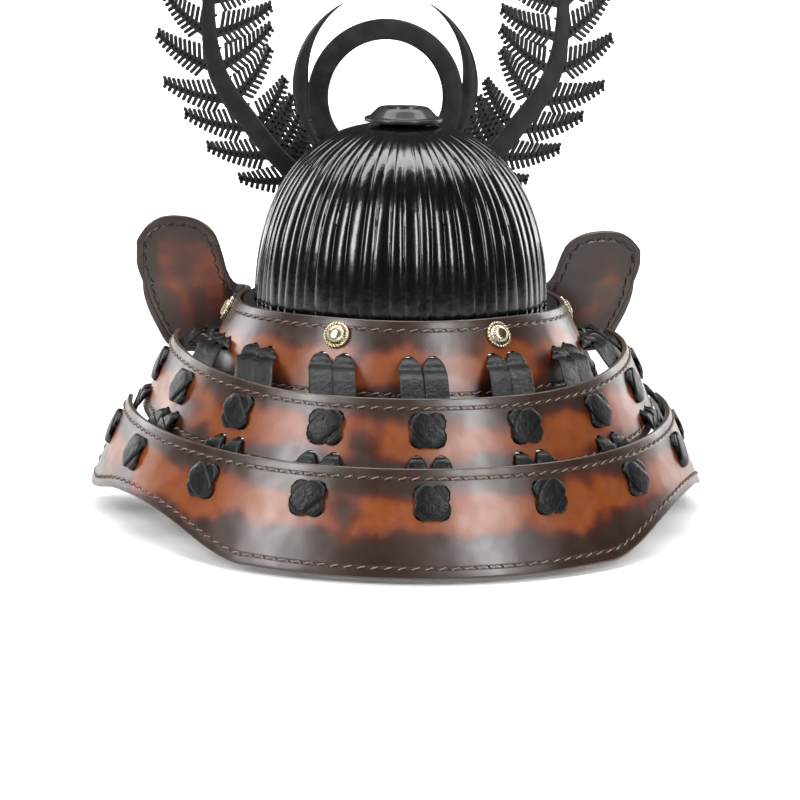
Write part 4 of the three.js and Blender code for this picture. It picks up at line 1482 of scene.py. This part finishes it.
@dataclass
class NeckGuard:
    """The three lames with their stitching, lacing and studs."""

    top: TopLame
    middle: Lame
    bottom: BottomLame
    lacing: Lacing = field(default_factory=Lacing)
    stitching: Stitching = field(default_factory=Stitching)
    studs: Studs = field(default_factory=Studs)

    def build(self) -> None:
        """Makes the neck guard."""
        for lame in (self.top, self.middle, self.bottom):
            name = lame.level.value
            piece = lame.hide().build(f"hide_{name}", 60)
            drill(piece, self.lacing.holes(lame))
            dress(piece, LEATHER_FINISH, "burnished_leather", f"lame_{name}")
            self.stitching.build(lame)
        self.lacing.build(self.top, self.middle, "upper")
        self.lacing.build(self.middle, self.bottom, "lower")
        self.studs.build(self.top)


# The crest

@dataclass
class Frond:
    """A fern frond cut from sheet iron: a curved stem, pinnae on both sides of
    it, crowded on the inner side near its foot, and rounded leaflets on both
    sides of each pinna."""

    # the stem's middle line, x and z, and its width
    stem: tuple[tuple[float, float, float], ...] = (
        (17, 14, 7), (18, 27, 7), (28, 40, 8), (45.5, 56, 8.4), (59.4, 73, 8.6), (66.6, 82.5, 8.6),
        (72, 93, 8), (75.2, 107.5, 6.6), (75.4, 127, 5), (71.5, 146, 3.4), (65.5, 162, 1.8),
    )
    # shares of pinna_length of the outer and the inner pinna, from the base up
    pinnae: tuple[tuple[float, float], ...] = (
        (0.62, 0.66), (0.86, 0.72), (0.98, 0.72), (1, 0.8), (1, 0.9), (0.98, 1), (0.92, 1),
        (0.82, 0.9), (0.66, 0.7), (0.46, 0.46),
    )
    pinna_start: float = 26
    pinna_pitch: float = 14.8
    pinna_length: float = 25.5
    outer_angle: float = 41
    inner_angle: float = 70
    midrib_width: float = 4.8
    # extra pinnae between the lowest ones, as broad as whole leaves
    crowded: int = 3
    crowded_width: float = 15
    thickness: float = 1.6
    stem_thickness: float = 2.0
    pinna_tip: float = 1.9
    sag: float = 0.26
    barb: float = 1.6
    leaflet_pitch: float = 2.35
    leaflet_width: float = 1.65
    # the leaflets above and below a midrib: length at its root, at its tip and
    # degrees from the midrib
    near: tuple[float, float, float] = (9.0, 3.2, 56)
    far: tuple[float, float, float] = (6.6, 2.6, 78)
    last_leaflet: float = 1.6
    bare_foot: float = 4.6

    def stem_line(self) -> tuple[Array, Array]:
        """The stem's line in the crest's plane and its width at each point."""
        line = spline(np.array(self.stem), 400)
        return line[:, :2], line[:, 2]

    def midrib(self, distance: float, length: float, side: int) -> tuple[Array, Array]:
        """The line of one pinna in the crest's plane: out of the stem, sagging in
        its middle and curving up again to its tip.

        Args:
            distance: where it grows, along the stem.
            length: its length past the stem's edge.
            side: 1 for the outer side, -1 for the inner.

        Returns:
            The line's points and the direction of the stem there.
        """
        line, width = self.stem_line()
        travelled = np.concatenate([[0], np.cumsum(np.linalg.norm(np.diff(line, axis=0), axis=1))])
        at = np.interp(distance, travelled, np.arange(len(line)))
        near = int(at)
        root = line[near]
        growth = unit(line[min(near + 2, len(line) - 1)] - line[max(near - 2, 0)])
        turn = math.radians(self.outer_angle if side > 0 else -self.inner_angle)
        across = np.array([growth[1], -growth[0]])
        heading = growth * math.cos(turn) + across * math.sin(turn)
        bend = (across * math.cos(turn) - growth * math.sin(turn)) * side
        share = np.linspace(0, 1, 24)[:, None]
        full = length + width[near] / 2
        return root + heading * full * share + bend * full * self.sag * (share - share ** 2), growth

    def leaflets(self, line: Array, growth: Array, length: float) -> tuple[Array, Array, Array]:
        """The leaflets of one pinna.

        Args:
            line: the pinna's midrib.
            growth: the stem's direction.
            length: the pinna's length past the stem.

        Returns:
            The root, the direction and the length of each leaflet.
        """
        bare = int(len(line) * self.bare_foot / (length + 5))
        places, _ = even_steps(line[bare:], self.leaflet_pitch)
        forward = unit(line[-1] - line[0])
        normal = np.array([-forward[1], forward[0]])
        normal = normal * np.sign((normal * growth).sum())
        share = np.linspace(0, 1, len(places))[:, None]
        size = 0.45 + 0.55 * length / self.pinna_length
        near_turn, far_turn = math.radians(self.near[2]), math.radians(self.far[2])
        near = normal * math.sin(near_turn) + forward * math.cos(near_turn)
        far = -normal * math.sin(far_turn) + forward * math.cos(far_turn)
        tip = np.vstack([line[-2:-1]])
        roots = np.vstack([places, places, tip])
        ways = np.vstack([near + 0 * places, far + 0 * places, forward[None]])
        near_length = blend(*self.near[:2], share ** 1.2)[:, 0] * size
        far_length = blend(*self.far[:2], share)[:, 0] * size
        lengths = np.concatenate([near_length, far_length, [self.last_leaflet]])
        return roots, ways, lengths

    def stadiums(self, roots: Array, ways: Array, lengths: Array) -> Array:
        """Leaflets with round ends: an outline of two half circles, drawn out to
        the leaflet's length, with its faces a little smaller than its middle.

        Args:
            roots: where each leaflet starts, in the crest's plane.
            ways: the direction of each.
            lengths: the length of each.

        Returns:
            The points, one grid for each leaflet.
        """
        angle = (np.arange(12) + 0.5) * 2 * np.pi / 12
        radius = self.leaflet_width / 2
        levels = np.array([(-1, 0.62), (-0.75, 1), (0.75, 1), (1, 0.62)])
        scale = levels[:, 1][None, :, None]
        stretch = (lengths[:, None, None] - radius) * (np.cos(angle) > 0)
        forward = radius * np.cos(angle) * scale + stretch
        sideways = radius * np.sin(angle) * scale + 0 * stretch
        normal = np.stack([-ways[:, 1], ways[:, 0]], axis=1)
        flat = (roots[:, None, None] + forward[..., None] * ways[:, None, None]
                + sideways[..., None] * normal[:, None, None])
        depth = np.broadcast_to((levels[:, 0] * self.thickness / 2)[None, :, None], flat.shape[:3])
        return np.stack([flat[..., 0], CREST_Y + depth, flat[..., 1]], axis=-1)

    def build(self, side: int, name: str, node: str) -> None:
        """Makes a frond.

        Args:
            side: 1 for the frond towards +X, -1 for its mirror image.
            name: the piece's name.
            node: the solid that it stands for.
        """
        shell = Shell()
        mirror = np.array([side, 1, 1])

        def sheet(line: Array, width: Value, thickness: float) -> None:
            """Adds a flat strip in the crest's plane.

            Args:
                line: its middle line.
                width: its width.
                thickness: its thickness.
            """
            path = np.stack([line[:, 0], np.full(len(line), CREST_Y), line[:, 1]], axis=1)
            forward = unit(np.gradient(path, axis=0))
            across = np.cross(forward, np.array([0, 1.0, 0]))
            grid = ribbon(path, across, width, thickness, 16, 7)
            shell.add(grid * mirror, tube_quads(*grid.shape[:2]))

        line, width = self.stem_line()
        sheet(line[::4], width[::4], self.stem_thickness)
        quads = tube_quads(4, 12)
        places = [(number, *row) for number, row in enumerate(self.pinnae)]
        places += [(number + 0.5, 0, row[1]) for number, row in enumerate(self.pinnae[:self.crowded])]
        for number, *shares in places:
            distance = self.pinna_start + number * self.pinna_pitch
            for turn, share in zip((1, -1), shares):
                if share == 0:
                    continue
                length = share * self.pinna_length
                midrib, growth = self.midrib(distance, length, turn)
                root = self.crowded_width if number % 1 else self.midrib_width
                taper = np.linspace(0, 1, len(midrib)) ** 0.7
                sheet(midrib, blend(root, self.pinna_tip, taper), self.thickness)
                leaves = self.stadiums(*self.leaflets(midrib, growth, length))
                shell.add_copies(leaves * mirror, quads)
                barb = self.midrib(distance + 0.5 * self.pinna_pitch, self.barb, turn)[0]
                sheet(barb[::4], blend(self.barb, 0.9, np.linspace(0, 1, 6)), self.thickness)
        dress(shell.build(name, 50), CREST_FINISH, "crest_metal", node)


@dataclass
class Crest:
    """The crest: a ring in a crescent between two fern fronds, in a holder."""

    ring_height: float = 82.3
    ring_inner: float = 24.5
    ring_outer: float = 33.4
    plate: float = 2.0
    crescent_radius: float = 40
    crescent_raise: float = 4.5
    crescent_width: float = 7.4
    ring_overlap: float = 0.6
    tip_angle: float = 62
    tang_width: float = 10
    base_half_width: float = 27
    base_foot: float = 5.3
    base_height: float = 20
    base_thickness: float = 7

    def ring(self) -> None:
        """Makes the ring: a flat band with rounded edges, carried in a circle."""
        turn = np.linspace(0, 2 * np.pi, 144, endpoint=False)[:, None]
        angle = (np.arange(24) + 0.5) * 2 * np.pi / 24
        wide = np.sign(np.cos(angle)) * np.abs(np.cos(angle)) ** 0.28
        deep = np.sign(np.sin(angle)) * np.abs(np.sin(angle)) ** 0.28
        radius = (self.ring_inner + self.ring_outer + wide * (self.ring_outer - self.ring_inner)) / 2
        grid = np.stack([radius * np.sin(turn), CREST_Y + deep * self.plate / 2 + 0 * turn,
                         self.ring_height + radius * np.cos(turn)], axis=-1)
        shell = Shell()
        shell.add(grid, tube_quads(*grid.shape[:2], ring=True))
        dress(shell.build("sun_ring", 50), CREST_FINISH, "crest_metal", "crest_ring")

    def crescent(self) -> None:
        """Makes the crescent: outside it is an arc, inside it follows the ring
        and then closes to the tip, with a ridge along its middle that rises as
        the root of a sine, and a tang goes down into the holder."""
        centre, radius = self.ring_height + self.crescent_raise, self.crescent_radius
        sweep = np.linspace(180 - self.tip_angle, 360 + self.tip_angle, 121)
        turn = np.radians(sweep)
        outer = np.stack([radius * np.cos(turn), centre + radius * np.sin(turn)], axis=1)
        offset = outer - [0, self.ring_height]
        away = np.linalg.norm(offset, axis=1)
        tip_rise = radius * math.sin(math.radians(self.tip_angle))
        slim = np.clip((outer[:, 1] - centre) / tip_rise, 0, 1)
        narrow = blend(away - self.crescent_width, away - 0.5, slim ** 1.4)
        inner_away = np.maximum(self.ring_outer - self.ring_overlap, narrow)
        inner = [0, self.ring_height] + offset * (inner_away / away)[:, None]
        share = np.linspace(0.02, 0.98, 9)[None, :, None]
        flat = outer[:, None] * (1 - share) + inner[:, None] * share
        ridge = self.plate / 2 * np.sin(np.pi * share[..., 0]) ** 0.5 * np.ones((len(outer), 1))
        face = [np.stack([flat[..., 0], CREST_Y + s * ridge, flat[..., 1]], axis=-1) for s in (-1, 1)]
        grid = np.concatenate([face[0], face[1][:, ::-1]], axis=1)
        shell = Shell()
        shell.add(grid, tube_quads(*grid.shape[:2]))
        rise = np.linspace(self.base_foot + 8, centre - radius + 3, 8)
        tang = np.stack([0 * rise, 0 * rise + CREST_Y, rise], axis=1)
        block = ribbon(tang, np.array([1.0, 0, 0]), self.tang_width, self.plate, 16, 8)
        shell.add(block, tube_quads(*block.shape[:2]))
        dress(shell.build("moon_crescent", 40), CREST_FINISH, "crest_metal", "crest_crescent")

    def holder(self) -> None:
        """Makes the holder: a block with rounded edges on the visor."""
        top = self.base_foot + self.base_height
        half = self.base_thickness / 2
        rows = np.array([(self.base_foot, 0.7), (self.base_foot + 0.4, 0.9), (self.base_foot + 1, 1),
                         (top - 1, 1), (top - 0.4, 0.9), (top, 0.7)])
        path = np.stack([0 * rows[:, 0], np.full(len(rows), CREST_Y), rows[:, 0]], axis=1)
        inset = (1 - rows[:, 1]) * 2
        wide, deep = 2 * (self.base_half_width - inset), 2 * (half - inset)
        block = ribbon(path, np.array([1.0, 0, 0]), wide, deep, 32, 12)
        shell = Shell()
        shell.add(block, tube_quads(*block.shape[:2]))
        dress(shell.build("crest_holder", 50), BOWL_FINISH, "crest_metal", "crest_base")

    def build(self) -> None:
        """Makes the whole crest."""
        self.ring()
        self.crescent()
        self.holder()
        Frond().build(1, "fern_frond_left", "fern_left")
        Frond().build(-1, "fern_frond_right", "fern_right")


# The studio

@dataclass
class Softbox:
    """A soft light that looks at a point, by default the helmet's middle."""

    name: str
    azimuth: float
    elevation: float
    width: float
    height: float
    power: float
    distance: float = 1.1
    aim: tuple[float, float, float] = (0, 0, 0)
    spread: float = 180

    def build(self) -> None:
        """Makes the light. Its azimuth is counted like an angle on a lame."""
        turn, lift = math.radians(self.azimuth), math.radians(self.elevation)
        away = Vector((math.sin(turn) * math.cos(lift), math.cos(turn) * math.cos(lift), math.sin(lift)))
        lamp = bpy.data.lights.new(self.name, "AREA")
        lamp.shape = "RECTANGLE"
        lamp.size, lamp.size_y = self.width, self.height
        lamp.energy = self.power
        lamp.spread = math.radians(self.spread)
        light = bpy.data.objects.new(self.name, lamp)
        light.location = Vector(self.aim) + away * self.distance
        light.rotation_euler = away.to_track_quat("Z", "Y").to_euler()
        bpy.context.scene.collection.objects.link(light)


@dataclass
class Studio:
    """The floor, the lights and the camera."""

    azimuth: float = 174
    elevation: float = 9.5
    roll: float = 1.0
    distance: float = 1.2
    lens: float = 132.7
    shift: float = -0.105
    floor_gap: float = 0.5
    floor_half: float = 6.0

    def camera(self) -> None:
        """Makes the camera at the photograph's angle to the helmet."""
        turn, lift = math.radians(self.azimuth), math.radians(self.elevation)
        back = Vector((math.sin(turn) * math.cos(lift), -math.cos(turn) * math.cos(lift), math.sin(lift)))
        data = bpy.data.cameras.new("camera")
        data.lens = self.lens
        data.sensor_width = 36
        data.shift_y = self.shift
        camera = bpy.data.objects.new("camera", data)
        camera.location = back * self.distance
        level = (-back).to_track_quat("-Z", "Y")
        camera.rotation_mode = "QUATERNION"
        camera.rotation_quaternion = level @ Quaternion((0, 0, 1), math.radians(self.roll))
        bpy.context.scene.collection.objects.link(camera)
        bpy.context.scene.camera = camera

    def floor(self, lowest: float) -> None:
        """Makes the floor.

        Args:
            lowest: the height of the helmet's lowest point, in metres.
        """
        half = self.floor_half
        height = lowest - self.floor_gap * MM
        mesh = bpy.data.meshes.new("floor")
        square = ((-half, -half), (half, -half), (half, half), (-half, half))
        corners = [(*corner, height) for corner in square]
        mesh.from_pydata(corners, [], [(0, 1, 2, 3)])
        floor = bpy.data.objects.new("floor", mesh)
        mesh.materials.append(StudioPaper("matt_background_paper").material())
        bpy.context.scene.collection.objects.link(floor)

    def world(self) -> None:
        """Makes the pale room round the studio."""
        world = bpy.data.worlds.new("room")
        world.use_nodes = True
        background = world.node_tree.nodes["Background"].inputs
        background["Color"].default_value = linear("#f3f3f4")
        background["Strength"].default_value = 0.09
        bpy.context.scene.world = world
        bpy.context.scene.view_settings.view_transform = "Standard"

    def build(self, lowest: float) -> None:
        """Makes the whole studio round the helmet.

        Args:
            lowest: the height of the helmet's lowest point, in metres.
        """
        self.camera()
        self.floor(lowest)
        self.world()
        for box in (
            Softbox("softbox_left", 56, 30, 0.26, 0.6, 8.6),
            Softbox("softbox_right", -28, 30, 0.22, 0.6, 7.8),
            Softbox("softbox_top", 180, 80, 1.7, 0.44, 20),
            Softbox("strip_left", 134, 16, 0.4, 0.6, 4.2),
            Softbox("strip_right", -128, 16, 0.4, 0.6, 4.2),
            Softbox("backdrop_light", 180, 89, 5, 4, 190, 1.8, (0, -2.9, 0), 60),
        ):
            box.build()


def main() -> None:
    """Builds the helmet's pieces in order, and then the studio."""
    logging.basicConfig(level=logging.INFO, format="%(message)s")
    bowl = Bowl()
    bowl.build()
    CrownRing().finish()
    RimBand(bowl).build()
    Visor(bowl).build()
    NeckGuard(
        TopLame(Level.TOP, 65, 71, 10.2, -2.4, 30, 0.5, 113, 0, (0, 27, 54, 78, 99), laces_down=14.8),
        Lame(Level.MIDDLE, 94.2, 102.2, -14, 6, 29, 0.44, 104, 5, (0, 22.3, 44.6, 67, 89.5),
             laces_down=22.2, laces_up=6.6, dark_above=7, dark_below=24.5),
        BottomLame(Level.BOTTOM, 111.3, 119.3, -37, 3.2, 38.6, 0.44, 98, 5, (0, 22.8, 45.3, 69, 91),
                   laces_up=7.2, dark_above=7.5, dark_below=24),
    ).build()
    Crest().build()
    Studio().build(CAD_BOX[0].z)


if __name__ == "__main__":
    main()
